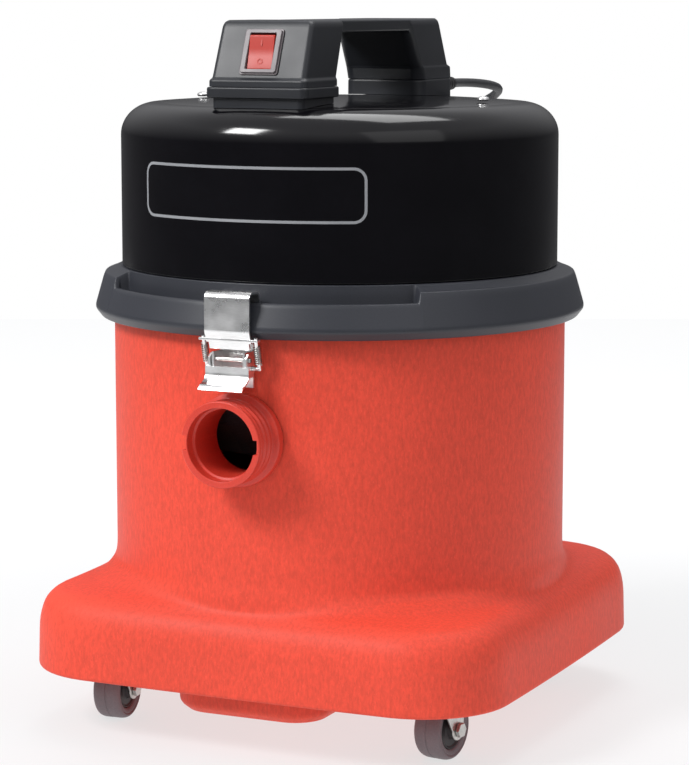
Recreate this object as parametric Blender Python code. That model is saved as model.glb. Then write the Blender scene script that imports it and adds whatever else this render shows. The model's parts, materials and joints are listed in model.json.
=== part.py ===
"""Commercial dry shop vacuum: moulded drum on four castors, latched motor head, bridge handle.

Frame: origin on the floor at the drum's axis, +Z up, front (inlet, switch) towards -Y.
Lengths below are millimetres; MM turns them into metres.
"""
import math
import bpy
import bmesh
from mathutils import Matrix, Vector

MM = 0.001
GAP = 0.3            # running and seating gap between touching pieces

# ---- driving dimensions -------------------------------------------------
DRUM_R = 165.0       # outside radius of the drum
WALL = 4.5           # drum wall
DRUM_RIM_Z = 301.0
BASE_HALF = 182.0    # half width of the rounded-square base
BASE_CORNER = 66.0
BASE_Z0 = 44.0       # lower edge of the base skirt
CEIL_Z = 62.0        # underside of the drum floor
FLOOR_Z = 66.3       # top side of the drum floor
Y_EXT = 193.0        # inlet rim and latch tabs end here
INLET_Z = 223.0
INLET_BORE = 23.5
BAND_R = 178.5
COVER_R = 159.0
COVER_Z0 = 330.0
COVER_Z1 = 424.0
COVER_SHOULDER = 25.0
COVER_CROWN = 450.5
HANDLE_TOP = 506.5
HEAD_PLATE_Z = 308.0
WHEEL_R = 22.0
WHEEL_W = 21.0
TRAIL = 13.0
CASTOR_X = 127.0
CASTOR_Y = 124.0
CASTOR_IN = 120.0    # the rear pair sits slightly closer in
CORD_D = 7.0
COIL_C = (0.0, 292.0)
COIL_R = 59.75
COIL_HALF = 21.15
COIL_TOP = 28.6

for old in list(bpy.data.objects):
    bpy.data.objects.remove(old, do_unlink=True)

SCENE = bpy.context.scene.collection
MATS = {}


def material(name, rgb, rough, metal=0.0):
    if name not in MATS:
        m = bpy.data.materials.new(name)
        m.use_nodes = True
        b = m.node_tree.nodes["Principled BSDF"]
        b.inputs["Base Color"].default_value = (rgb[0], rgb[1], rgb[2], 1.0)
        b.inputs["Roughness"].default_value = rough
        b.inputs["Metallic"].default_value = metal
        MATS[name] = m
    return MATS[name]


RED = ("drum_red", (0.78, 0.085, 0.045), 0.5)
INLET_RED = ("inlet_red", (0.72, 0.07, 0.04), 0.45)
CHARCOAL = ("charcoal_plastic", (0.055, 0.06, 0.075), 0.5)
SATIN = ("satin_black_plastic", (0.03, 0.032, 0.04), 0.4)
GLOSS = ("gloss_black_steel", (0.008, 0.008, 0.01), 0.12)
PLATED = ("plated_steel", (0.75, 0.75, 0.74), 0.25, 1.0)
STEEL = ("dull_steel", (0.5, 0.5, 0.5), 0.4, 1.0)
GREY = ("tyre_grey", (0.2, 0.18, 0.185), 0.6)
HUB = ("hub_dark", (0.02, 0.018, 0.018), 0.5)
RUBBER = ("black_rubber", (0.02, 0.02, 0.02), 0.75)
ROCKER = ("rocker_red", (0.75, 0.07, 0.04), 0.3)
BEZEL = ("bezel_grey", (0.2, 0.18, 0.19), 0.4)
CLOTH = ("filter_cloth", (0.7, 0.68, 0.6), 0.9)
CORD = ("cord_grey", (0.07, 0.07, 0.075), 0.55)
COPPER = ("copper", (0.7, 0.3, 0.15), 0.35, 1.0)
BRASS = ("brass", (0.7, 0.5, 0.2), 0.3, 1.0)


# ---- mesh helpers --------------------------------------------------------
def new_obj(name, verts, faces, mat=None, matrix=None):
    me = bpy.data.meshes.new(name)
    me.from_pydata([(x * MM, y * MM, z * MM) for x, y, z in verts], [], faces)
    bm = bmesh.new()
    bm.from_mesh(me)
    bmesh.ops.recalc_face_normals(bm, faces=bm.faces)
    bm.to_mesh(me)
    bm.free()
    me.shade_smooth()
    me.set_sharp_from_angle(angle=math.radians(35))
    ob = bpy.data.objects.new(name, me)
    SCENE.objects.link(ob)
    if mat:
        me.materials.append(material(*mat))
    if matrix is not None:
        ob.matrix_world = matrix
    return ob


def lathe(name, prof, seg, mat=None, closed=True, matrix=None):
    """Turn a profile of (r, z) about Z. r == 0 marks a point on the axis."""
    verts, rows = [], []
    for r, z in prof:
        if r <= 1e-6:
            rows.append([len(verts)])
            verts.append((0.0, 0.0, z))
        else:
            rows.append(list(range(len(verts), len(verts) + seg)))
            for i in range(seg):
                a = 2 * math.pi * i / seg
                verts.append((r * math.cos(a), r * math.sin(a), z))
    faces = []
    pairs = list(zip(rows[:-1], rows[1:]))
    if closed:
        pairs.append((rows[-1], rows[0]))
    for a, b in pairs:
        if len(a) == 1 and len(b) == 1:
            continue
        for i in range(seg):
            j = (i + 1) % seg
            if len(a) == 1:
                faces.append((a[0], b[i], b[j]))
            elif len(b) == 1:
                faces.append((a[i], b[0], a[j]))
            else:
                faces.append((a[i], b[i], b[j], a[j]))
    return new_obj(name, verts, faces, mat, matrix)


def stack(name, rings, mat=None, cap=True, matrix=None):
    """Skin a list of rings with equal point counts; cap the two ends."""
    n = len(rings[0])
    verts = [p for ring in rings for p in ring]
    faces = []
    for k in range(len(rings) - 1):
        for i in range(n):
            j = (i + 1) % n
            faces.append((k * n + i, k * n + j, (k + 1) * n + j, (k + 1) * n + i))
    if cap:
        faces.append(tuple(range(n)))
        faces.append(tuple(range((len(rings) - 1) * n, len(rings) * n)))
    return new_obj(name, verts, faces, mat, matrix)


def box(name, lo, hi, mat=None, matrix=None):
    x0, y0, z0 = lo
    x1, y1, z1 = hi
    v = [(x0, y0, z0), (x1, y0, z0), (x1, y1, z0), (x0, y1, z0),
         (x0, y0, z1), (x1, y0, z1), (x1, y1, z1), (x0, y1, z1)]
    f = [(0, 3, 2, 1), (4, 5, 6, 7), (0, 1, 5, 4), (1, 2, 6, 5), (2, 3, 7, 6), (3, 0, 4, 7)]
    return new_obj(name, v, f, mat, matrix)


def prism(name, poly, lo, hi, axis, mat=None, matrix=None):
    """Extrude a polygon along an axis. The polygon lies in the other two axes, in X, Y, Z order."""
    def put(p, d):
        if axis == "X":
            return (d, p[0], p[1])
        if axis == "Y":
            return (p[0], d, p[1])
        return (p[0], p[1], d)
    rings = [[put(p, lo) for p in poly], [put(p, hi) for p in poly]]
    return stack(name, rings, mat, True, matrix)


def cyl(name, c, r, lo, hi, axis, seg=16, mat=None, matrix=None):
    poly = [(c[0] + r * math.cos(2 * math.pi * i / seg), c[1] + r * math.sin(2 * math.pi * i / seg))
            for i in range(seg)]
    return prism(name, poly, lo, hi, axis, mat, matrix)


def rrect(x0, x1, y0, y1, r, z, n=3):
    """Rounded rectangle ring at height z."""
    pts = []
    for cx, cy, a0 in ((x1 - r, y1 - r, 0), (x0 + r, y1 - r, 90), (x0 + r, y0 + r, 180), (x1 - r, y0 + r, 270)):
        for k in range(n + 1):
            a = math.radians(a0 + 90.0 * k / n)
            pts.append((cx + r * math.cos(a), cy + r * math.sin(a), z))
    return pts


def strip(path, t):
    """Closed outline of a plate of thickness t that follows a centre line of points."""
    left, right = [], []
    n = len(path)
    for i, p in enumerate(path):
        a = Vector(path[max(i - 1, 0)])
        b = Vector(path[min(i + 1, n - 1)])
        d = (b - a).normalized()
        nrm = Vector((-d.y, d.x))
        if 0 < i < n - 1:
            d1 = (Vector(p) - a).normalized()
            c = max(0.6, abs(d1.dot(d)))
            nrm = nrm / c
        left.append((p[0] + nrm.x * t / 2, p[1] + nrm.y * t / 2))
        right.append((p[0] - nrm.x * t / 2, p[1] - nrm.y * t / 2))
    return left + right[::-1]


def boolean(ob, cutter, op="DIFFERENCE"):
    """Apply one exact Boolean and drop the cutter."""
    md = ob.modifiers.new("cut", "BOOLEAN")
    md.operation = op
    md.solver = "EXACT"
    md.object = cutter
    bpy.context.view_layer.update()
    dg = bpy.context.evaluated_depsgraph_get()
    me = bpy.data.meshes.new_from_object(ob.evaluated_get(dg))
    ob.modifiers.clear()
    mats = [m for m in ob.data.materials]
    ob.data = me
    me.materials.clear()
    for m in mats[:1]:
        me.materials.append(m)
    me.polygons.foreach_set("material_index", [0] * len(me.polygons))
    bpy.data.objects.remove(cutter, do_unlink=True)
    bm = bmesh.new()
    bm.from_mesh(me)
    bmesh.ops.remove_doubles(bm, verts=bm.verts, dist=2e-7)
    bm.to_mesh(me)
    bm.free()
    me.shade_smooth()
    me.set_sharp_from_angle(angle=math.radians(35))
    return ob


def along_y(z=INLET_Z):
    """Lathe axis turned to point to -Y at the inlet's height."""
    return Matrix.Translation(Vector((0, 0, z * MM))) @ Matrix.Rotation(math.radians(90), 4, "X")


# ---- drum ---------------------------------------------------------------
def square_radius(a, half, corner, bow):
    """Polar radius of a rounded square whose sides bow outwards by bow at their middles."""
    q = abs(((a + math.pi / 4) % (math.pi / 2)) - math.pi / 4)
    c, s = math.cos(q), math.sin(q)
    flat = half - corner
    r = half / c
    if r * s > flat:
        b = flat * (c + s)
        r = b + math.sqrt(max(b * b - 2 * flat * flat + corner * corner, 0.0))
    else:
        r += bow * (1 - (r * s / max(flat, 1.0)) ** 2) / c
    return r


def base_ring(half, z, blend=0.0, circle=0.0, seg=48):
    corner = BASE_CORNER - (BASE_HALF - half)
    pts = []
    for i in range(seg):
        a = 2 * math.pi * i / seg
        r = (1 - blend) * square_radius(a, half, corner, 1.5) + blend * circle
        pts.append((r * math.cos(a), r * math.sin(a), z))
    return pts


def circle_ring(r, z, seg=48):
    return base_ring(BASE_HALF, z, 1.0, r, seg)


def make_drum():
    h = BASE_HALF - 1.5
    rings = [
        base_ring(h - 5.2, CEIL_Z), base_ring(h - 4.6, BASE_Z0),
        base_ring(h - 1.2, BASE_Z0), base_ring(h, BASE_Z0 + 1.6),
        base_ring(h - 1.0, 80.0), base_ring(h - 5.5, 93.0),
        base_ring(h - 14.5, 100.5), base_ring(h - 20.0, 105.0, 0.6, 169.0),
        circle_ring(166.6, 113.5), circle_ring(DRUM_R, 122.0),
        circle_ring(DRUM_R, DRUM_RIM_Z),
        circle_ring(DRUM_R - WALL, DRUM_RIM_Z), circle_ring(DRUM_R - WALL, 118.0),
        base_ring(h - 24.0, 101.0, 0.6, 163.0),
        base_ring(h - 12.0, 91.0), base_ring(h - 6.0, 80.0),
        base_ring(h - 8.0, FLOOR_Z),
    ]
    ob = stack("drum", rings, RED)
    # foot under the front skirt, hollow from the inside
    foot = stack("c", [rrect(-52, 52, -160, -92, 22, 26), rrect(-57, 57, -166, -88, 26, 31),
                       rrect(-59, 59, -168, -86, 26, 64)])
    boolean(ob, foot, "UNION")
    pocket = stack("c", [rrect(-49, 49, -157, -95, 20, 30.5), rrect(-53, 53, -161.5, -93, 22, 35.5),
                         rrect(-54, 54, -162.5, -92, 22, 70)])
    boolean(ob, pocket)
    hole = cyl("c", (0, INLET_Z), 26.6, -175, -150, "Y", 24)
    boolean(ob, hole)
    return ob


make_drum()

# inlet: threaded collar, gasket outside, nut inside.  Local +Z is towards the front.
R = INLET_BORE
collar = lathe("inlet_collar", [
    (R, 152.0), (26.0, 152.0), (26.0, 161.0), (33.0, 161.0), (33.0, 169.4), (28.4, 171.0),
    (28.2, 174.0), (29.8, 175.4), (28.2, 177.4), (28.2, 180.0), (29.8, 181.4), (28.2, 183.4),
    (28.2, 186.0), (29.8, 187.4), (29.8, 193.0), (R + 0.4, 193.0)], 24, INLET_RED, True, along_y())
saddle = cyl("c", (0, 0), DRUM_R + 1.3, 150, 300, "Z", 48)
keep = cyl("k", (0, INLET_Z), 26.3, -170, -140, "Y", 24)
boolean(saddle, keep)
boolean(collar, saddle)
gasket = lathe("inlet_gasket", [(26.8, 155.0), (32.6, 155.0), (32.6, 175.0), (26.8, 175.0)], 24, RUBBER, True, along_y())
outer = cyl("c", (0, 0), DRUM_R + 1.0, 150, 300, "Z", 48)
boolean(gasket, outer, "INTERSECT")
inner = cyl("c", (0, 0), DRUM_R + GAP, 150, 300, "Z", 48)
boolean(gasket, inner)
nut = lathe("inlet_nut", [(26.3, 153.0), (33.5, 153.0), (34.5, 154.0), (34.5, 165.0), (26.3, 165.0)], 24, CHARCOAL, True, along_y())
inner = cyl("c", (0, 0), DRUM_R - WALL - 0.9, 150, 300, "Z", 48)
boolean(nut, inner, "INTERSECT")

# ---- castors -------------------------------------------------------------
CASTORS = {
    "fl": (-CASTOR_X, -CASTOR_Y, 95.0),
    "fr": (CASTOR_X, -CASTOR_Y, 82.0),
    "rl": (-CASTOR_IN, CASTOR_IN, 150.0),
    "rr": (CASTOR_IN, CASTOR_IN, 175.0),
}


def make_castors():
    """Each castor is drawn trailing to +X about its own swivel axis, then turned and placed."""
    shared = {}
    for tag, (cx, cy, ang) in CASTORS.items():
        m = Matrix.Translation(Vector((cx * MM, cy * MM, 0))) @ Matrix.Rotation(math.radians(ang), 4, "Z")
        flat = Matrix.Translation(Vector((cx * MM, cy * MM, 0)))
        axle = m @ Matrix.Translation(Vector((TRAIL * MM, 0, WHEEL_R * MM))) @ Matrix.Rotation(math.radians(-90), 4, "X")
        names = ["castor_plate_", "castor_fork_", "castor_axle_", "castor_hub_", "castor_tyre_"]
        if not shared:
            plate = stack("castor_plate_" + tag, [rrect(-21, 21, -21, 21, 4, CEIL_Z - GAP - 2.4, 2),
                                                  rrect(-21, 21, -21, 21, 4, CEIL_Z - GAP, 2)], STEEL)
            head = lathe("c", [(0, 52.3), (10.0, 52.3), (14.5, 54.0), (15.5, 57.0), (15.5, 60.0), (0, 60.0)], 16, None, False)
            boolean(plate, head, "UNION")
            for sx in (-1, 1):
                for sy in (-1, 1):
                    screw = lathe("c", [(0, 57.0), (4.0, 57.6), (4.0, 60.4), (0, 60.4)], 6, None, False,
                                  Matrix.Translation(Vector((16.0 * sx * MM, 16.0 * sy * MM, 0))))
                    boolean(plate, screw, "UNION")
            leg = [(-10, 52), (15, 52), (21, 42)]
            for k in range(6):
                a = math.radians(20 - 200.0 * k / 5)
                leg.append((TRAIL + 7.6 * math.cos(a), WHEEL_R + 7.6 * math.sin(a)))
            leg.append((-8, 44))
            fork = prism("castor_fork_" + tag, leg, -13.8, 13.8, "Y", STEEL)
            cut = box("c", (-40, -11.9, 0), (60, 11.9, 49.2))
            boolean(fork, cut)
            cut = cyl("c", (TRAIL, WHEEL_R), 3.3, -30, 30, "Y", 12)
            boolean(fork, cut)
            ax = lathe("castor_axle_" + tag, [(0, -17.0), (5.4, -17.0), (5.4, -14.1), (3.0, -14.1), (3.0, 14.1),
                                              (5.4, 14.1), (5.4, 17.2), (0, 17.8)], 10, STEEL, False)
            hub = lathe("castor_hub_" + tag, [(3.3, -11.5), (6.5, -11.5), (8.5, -7.6), (14.2, -8.4), (14.2, 8.4),
                                              (8.5, 7.6), (6.5, 11.5), (3.3, 11.5)], 16, HUB)
            tyre = lathe("castor_tyre_" + tag, [(14.5, -8.3), (19.5, -WHEEL_W / 2), (WHEEL_R, -7.6),
                                                (WHEEL_R, 7.6), (19.5, WHEEL_W / 2), (14.5, 8.3)],
                         28, GREY)
            shared.update(zip(names, (plate, fork, ax, hub, tyre)))
            obs = [plate, fork, ax, hub, tyre]
        else:
            obs = []
            for nm in names:
                ob = bpy.data.objects.new(nm + tag, shared[nm].data)
                SCENE.objects.link(ob)
                obs.append(ob)
        obs[0].matrix_world = flat
        obs[1].matrix_world = m
        for ob in obs[2:]:
            ob.matrix_world = axle


make_castors()

# ---- latches (front drawn, rear turned half a turn) -----------------------
P_YZ = (-177.0, 279.5)     # lever pivot
Q_YZ = (-172.5, 273.5)     # hook pivot on the lever
HOOK_W = 17.0


def make_latch(side):
    m = Matrix.Identity(4) if side == "front" else Matrix.Rotation(math.pi, 4, "Z")
    # backplate with two ears
    u = [(-12.5, -165.5), (12.5, -165.5), (12.5, -180.0), (11.0, -180.0), (11.0, -167.3), (-11.0, -167.3), (-11.0, -180.0), (-12.5, -180.0)]
    ob = prism("latch_bracket_" + side, u, 270.0, 284.6, "Z", PLATED)
    plate = box("c", (-12.49, -167.29, 259.5), (12.49, -165.51, 291.5))
    boolean(ob, plate, "UNION")
    boolean(ob, cyl("c", P_YZ, 1.9, -30, 30, "X", 10))
    ob.matrix_world = m
    # lever: flared thumb tab with two cheeks
    tip = -Y_EXT
    path = [(-181.4, 275.0), (-181.2, 269.0), (-182.6, 266.0), (-187.0, 263.6), (-190.2, 262.6), (-192.25, 259.6)]
    out = strip(path, 1.5)
    low = min(p[0] for p in out)
    out = [(p[0] + (tip - low), p[1]) if p[0] < -190.0 else p for p in out]
    ob = prism("latch_lever_" + side, out, -16.5, 16.5, "X", PLATED)
    cheek = [(-181.4, 267.5), (-170.5, 267.5), (-169.3, 270.0), (-169.3, 276.5), (-173.5, 283.0), (-178.0, 283.8), (-181.4, 281.0)]
    boolean(ob, prism("c", cheek, 13.0, 14.5, "X"), "UNION")
    boolean(ob, prism("c", cheek, -14.5, -13.0, "X"), "UNION")
    boolean(ob, cyl("c", P_YZ, 1.9, -30, 30, "X", 10))
    boolean(ob, cyl("c", Q_YZ, 1.9, -30, 30, "X", 10))
    ob.matrix_world = m
    # hook plate with a curled lip, and two side rods down to the lever
    path = [(-165.6, 316.8), (-165.9, 321.6), (-168.6, 324.6), (-178.4, 325.0), (-181.2, 322.6), (-181.4, 298.0), (-178.9, 292.6), (-176.9, 286.6)]
    ob = prism("latch_hook_" + side, strip(path, 1.5), -HOOK_W, HOOK_W, "X", PLATED)
    boolean(ob, box("c", (-22.4, -180.4, 292.2), (22.4, -175.8, 294.0)), "UNION")
    q = Vector((0, Q_YZ[0], Q_YZ[1]))
    top = Vector((0, -178.2, 295.2))
    axis = (top - q).normalized()
    tilt = math.atan2(-axis.y, axis.z)
    for s in (-1, 1):
        rod = Matrix.Translation(Vector((s * 19.8 * MM, q.y * MM, q.z * MM))) @ Matrix.Rotation(tilt, 4, "X")
        r = cyl("c", (0, 0), 1.3, -1.2, (top - q).length, "Z", 6, None, rod)
        boolean(ob, r, "UNION")
        lo, hi = sorted((s * 12.7, s * 20.6))
        boolean(ob, cyl("c", Q_YZ, 1.55, lo, hi, "X", 8), "UNION")
    ob.matrix_world = m
    for s, hand in ((-1, "left"), (1, "right")):
        rod = Matrix.Translation(Vector((s * 19.8 * MM, q.y * MM, q.z * MM))) @ Matrix.Rotation(tilt, 4, "X")
        prof = [(1.7, 2.6), (2.6, 2.6), (2.6, 17.0), (1.7, 17.0)]
        lathe("latch_spring_%s_%s" % (side, hand), prof, 8, STEEL, True, m @ rod)
    cyl("latch_pin_" + side, P_YZ, 1.6, -15.8, 15.8, "X", 10, STEEL, m)


make_latch("front")
make_latch("rear")

# ---- filter --------------------------------------------------------------
lathe("filter_ring", [(148.0, 301.3), (164.0, 301.3), (164.0, 303.3), (146.0, 303.3), (146.0, 292.0), (148.0, 292.0)], 28, CHARCOAL)
lathe("filter_cloth", [(145.6, 302.6), (143.6, 302.6), (128.0, 226.0), (110.0, 204.0), (0, 199.0),
                       (0, 197.4), (111.0, 202.2), (129.6, 225.0)], 28, CLOTH)

# ---- head ----------------------------------------------------------------
def make_head_base():
    """Ring moulding. Front and rear sectors have a lower lip with a channel behind it for the latch hook."""
    half = math.radians(43.0)
    low = [(174.2, 293.5), (BAND_R, 299.0), (BAND_R, 301.5), (173.4, 316.6), (171.8, 318.2), (169.3, 317.6), (168.6, 313.4),
           (162.2, 313.4), (160.8, 329.6), (155.5, 329.6), (154.5, 312.0), (44.0, 312.0), (44.0, HEAD_PLATE_Z), (168.0, HEAD_PLATE_Z),
           (171.4, 293.5)]
    up = [(174.2, 293.5), (BAND_R, 299.0), (BAND_R, 301.5), (172.6, 322.0), (171.2, 325.2), (169.4, 325.6), (167.0, 326.6),
          (163.0, 328.4), (160.8, 329.6), (155.5, 329.6), (154.5, 312.0), (44.0, 312.0), (44.0, HEAD_PLATE_Z), (168.0, HEAD_PLATE_Z),
          (171.4, 293.5)]
    angles = []
    n = 48
    for i in range(n):
        a = 2 * math.pi * i / n - math.pi
        angles.append((a, None))
    eps = math.radians(0.5)
    table = []
    for c in (-math.pi / 2, math.pi / 2):
        for e in (c - half, c + half):
            inside = 1 if e > c else -1
            table.append((e - eps, "low" if inside == 1 else "up"))
            table.append((e + eps, "up" if inside == 1 else "low"))
    for a, _ in angles:
        d = min(abs((a - c + math.pi) % (2 * math.pi) - math.pi) for c in (-math.pi / 2, math.pi / 2))
        if abs(d - half) > math.radians(1.6):
            table.append((a, "low" if d < half else "up"))
    table.sort()
    k = len(up)
    verts = []
    for a, kind in table:
        for r, z in (low if kind == "low" else up):
            verts.append((r * math.cos(a), r * math.sin(a), z))
    faces = []
    m = len(table)
    for i in range(m):
        j = (i + 1) % m
        for p in range(k):
            q = (p + 1) % k
            faces.append((i * k + p, i * k + q, j * k + q, j * k + p))
    return new_obj("head_base", verts, faces, CHARCOAL)


make_head_base()
lathe("drum_seal", [(152.0, 303.6), (164.6, 303.6), (164.6, 307.7), (152.0, 307.7)], 40, RUBBER)

SH = COVER_SHOULDER


def cover_profile(d, z0, n=4):
    """Outside of the steel cover, moved outwards by d."""
    pts = [(COVER_R + d, z0), (COVER_R + d, COVER_Z1)]
    cx = COVER_R - SH
    for k in range(1, n + 1):
        a = math.radians(78.0 * k / n)
        pts.append((cx + (SH + d) * math.cos(a), COVER_Z1 + (SH + d) * math.sin(a) * 0.92))
    pts += [(112.0, 448.3 + d), (60.0, 450.0 + d), (0.0, COVER_CROWN + d)]
    return pts


outer = cover_profile(0.0, COVER_Z0)
inner = [(max(r - (1.4 if z < COVER_Z1 + 8 else 0.9) * (1 if r > 1 else 0), 0.0), z if z <= COVER_Z1 else z - 1.4) for r, z in outer]
cover = lathe("motor_cover", outer + inner[::-1], 44, GLOSS, True)
for y0, y1 in ((-118.0, -98.0), (98.0, 118.0)):
    boolean(cover, box("c", (-12, y0, 430), (12, y1, 470)))

for hand, ang in (("left", 180.0), ("right", 0.0)):
    a = math.radians(ang)
    lathe("cover_screw_" + hand, [(0, 449.2), (3.6, 449.2), (4.6, 450.0), (4.2, 451.6), (2.4, 452.4), (0, 452.6)], 12, PLATED, False,
          Matrix.Translation(Vector((112.0 * math.cos(a) * MM, 112.0 * math.sin(a) * MM, 0))))

# handle plinths sit on the cover
def plinth(name, rings, hollow):
    ob = stack(name, rings, SATIN)
    boolean(ob, stack("c", [rrect(*hollow, 6, 430), rrect(*hollow, 6, 480)]))
    boolean(ob, lathe("c", cover_profile(GAP, 420.0) + [(0.0, 420.0)], 44, None, False))
    return ob


plinth("handle_base_front", [rrect(-34, 34, -135.5, -79.5, 9, 430), rrect(-34, 34, -135.5, -79.5, 9, 453.4),
                             rrect(-36.4, 36.4, -138.2, -78.6, 10, 454.0), rrect(-36.4, 36.4, -138.2, -78.6, 10, 460.4),
                             rrect(-35.8, 35.8, -137.6, -79.0, 10, 461.0)], (-29, 29, -130, -85))
plinth("handle_base_rear", [rrect(-32, 32, 77.0, 140.0, 9, 430), rrect(-32, 32, 77.5, 140.0, 9, 461.0)], (-27, 27, 84, 134))


def make_handle():
    z0 = 461.3
    ob = stack("handle", [rrect(-34.4, 34.4, -136.0, -79.4, 9, z0), rrect(-34.4, 34.4, -136.0, -79.4, 9, 465.6),
                          rrect(-32.8, 32.8, -133.4, -78.2, 8, 467.4), rrect(-31.6, 31.6, -119.2, -61.5, 8, 502.4),
                          rrect(-30.6, 30.6, -117.4, -61.0, 7, 505.2), rrect(-28.4, 28.4, -115.0, -62.5, 6, HANDLE_TOP)], SATIN)
    bridge = prism("c", [(-70, 497.5), (58, 497.5), (63, 494.0), (63, 506.3), (-70, 506.3)], -29.6, 29.6, "X")
    boolean(ob, bridge, "UNION")
    rear = stack("c", [rrect(-31.8, 31.8, 77.0, 140.6, 9, z0), rrect(-31.8, 31.8, 74.0, 139.6, 9, 469.6),
                       rrect(-31.2, 31.2, 72.6, 134.0, 8, 471.4), rrect(-30.4, 30.4, 54.5, 119.6, 8, 502.2),
                       rrect(-29.6, 29.6, 53.5, 118.0, 7, 505.0), rrect(-28.0, 28.0, 55.5, 115.6, 6, HANDLE_TOP)])
    boolean(ob, rear, "UNION")
    hollow = stack("c", [rrect(-30.4, 30.4, -132, -83, 6, 455), rrect(-29.6, 29.6, -129.6, -82, 6, 467.4),
                         rrect(-28.2, 28.2, -115.6, -66, 6, 502.6)])
    boolean(ob, hollow)
    hollow = stack("c", [rrect(-28, 28, 81, 136.6, 6, 455), rrect(-27.6, 27.6, 77, 131, 6, 471), rrect(-27, 27, 59, 115, 6, 502.4)])
    boolean(ob, hollow)
    return ob


handle = make_handle()

# rocker switch on the leaning front face: local X = right, Y = up the slope, Z = outwards
LEAN = math.atan2(14.2, 35.0)
FACE_C = Vector((0.0, -126.3 - 0.12, 484.9))
SW = Matrix.Translation(FACE_C * MM) @ Matrix.Rotation(math.radians(90) - LEAN, 4, "X")
boolean(handle, box("c", (-11.6, -14.0, -20), (11.6, 14.0, 10), None, SW))


def rect_ring(hx, hy, ix, iy, z0, z1):
    v = []
    for z in (z0, z1):
        v += [(-hx, -hy, z), (hx, -hy, z), (hx, hy, z), (-hx, hy, z)]
        v += [(-ix, -iy, z), (ix, -iy, z), (ix, iy, z), (-ix, iy, z)]
    f = []
    for i in range(4):
        j = (i + 1) % 4
        f += [(i, j, 8 + j, 8 + i), (4 + i, 12 + i, 12 + j, 4 + j), (i, 4 + i, 4 + j, j), (8 + i, 8 + j, 12 + j, 12 + i)]
    return v, f


v, f = rect_ring(13.6, 15.6, 9.9, 13.1, 0.4, 2.6)
bezel = new_obj("switch_bezel", v, f, BEZEL, SW)
v, f = rect_ring(11.2, 13.6, 9.9, 13.1, -9.0, 1.4)
neck = new_obj("c", v, f, None, SW)
boolean(bezel, neck, "UNION")
box("switch_body", (-11.0, -13.4, -20.0), (11.0, 13.4, -9.3), CHARCOAL, SW)
# rocker: off end pressed in, on end standing out; pivot 4 mm behind the face
ROCK = SW @ Matrix.Translation(Vector((0, 0, -4.0 * MM))) @ Matrix.Rotation(math.radians(8.0), 4, "X")
prof = [(-11.6, 6.2), (-7.4, 6.0), (-2.6, 5.7), (0, 5.6), (2.6, 5.7), (7.4, 6.0), (11.6, 6.2), (12.2, 5.4), (11.2, 1.0), (5.0, -3.2), (-5.0, -3.2),
        (-11.2, 1.0), (-12.2, 5.4)]
rocker = prism("switch_rocker", prof, -9.5, 9.5, "X", ROCKER, ROCK)

# ---- motor ---------------------------------------------------------------
lathe("motor_gasket", [(62.0, 312.3), (70.0, 312.3), (70.0, 315.7), (62.0, 315.7)], 24, RUBBER)
lathe("fan_casing", [(24.0, 316.0), (72.0, 316.0), (72.0, 364.0), (70.5, 365.2), (18.0, 365.2), (18.0, 363.8), (70.2, 363.8), (70.2, 317.5), (24.0, 317.5)],
      16, STEEL)
lathe("motor_casing", [(18.4, 365.5), (52.0, 365.5), (52.0, 437.0), (48.0, 441.0), (11.4, 441.0), (11.4, 438.6), (47.0, 438.6), (50.0, 436.0),
                       (50.0, 368.0), (11.4, 368.0), (11.4, 366.4), (18.4, 366.4)], 14, CHARCOAL)
lathe("impeller", [(4.3, 324.0), (10.0, 324.0), (14.0, 332.0), (66.0, 340.0), (66.0, 356.0), (12.0, 356.0), (4.3, 360.0)], 14, STEEL)
lathe("armature", [(0, 321.0), (3.0, 321.0), (4.0, 322.0), (4.0, 386.0), (12.0, 386.0), (24.0, 392.0), (24.0, 418.0), (14.0, 424.0),
                   (4.0, 426.0), (4.0, 440.4), (0, 440.4)], 12, COPPER, False)
for nm, z in (("bearing_lower", 368.4), ("bearing_upper", 431.0)):
    lathe(nm, [(4.3, z), (11.1, z), (11.1, z + 7.0), (4.3, z + 7.0)], 12, STEEL)

# ---- cord ----------------------------------------------------------------
EXIT = (20.0, 141.0, 456.0)
boolean(bpy.data.objects["handle_base_rear"], cyl("c", (EXIT[0], EXIT[2]), 4.6, 128, 150, "Y", 12))
strain = lathe("strain_relief", [(0, 133.0), (4.2, 133.0), (4.2, 140.6), (6.8, 140.6), (6.8, 143.0), (5.8, 146.0), (5.0, 164.0), (0, 164.0)], 12, RUBBER, False,
               Matrix.Translation(Vector((EXIT[0] * MM, 0, EXIT[2] * MM))) @ Matrix.Rotation(math.radians(-90), 4, "X"))

ROUTE = [(20.0, 164.7, 456.0), (20.4, 180.0, 456.0), (25.0, 197.5, 455.4), (31.5, 214.0, 453.6), (33.0, 231.0, 450.0),
         (23.5, 246.0, 444.0), (4.5, 252.5, 434.0), (-15.5, 250.0, 418.5), (-32.0, 243.5, 396.0), (-43.0, 236.5, 364.0),
         (-50.0, 231.0, 326.0), (-55.0, 227.0, 280.0), (-59.0, 225.0, 232.0), (-62.0, 224.0, 184.0), (-66.0, 224.5, 138.0),
         (-72.0, 227.5, 98.0), (-79.0, 233.5, 64.0), (-86.5, 243.0, 36.5), (-91.0, 256.0, 16.5), (-90.0, 271.0, 6.0),
         (-85.2, 285.0, 3.8)]


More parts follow.
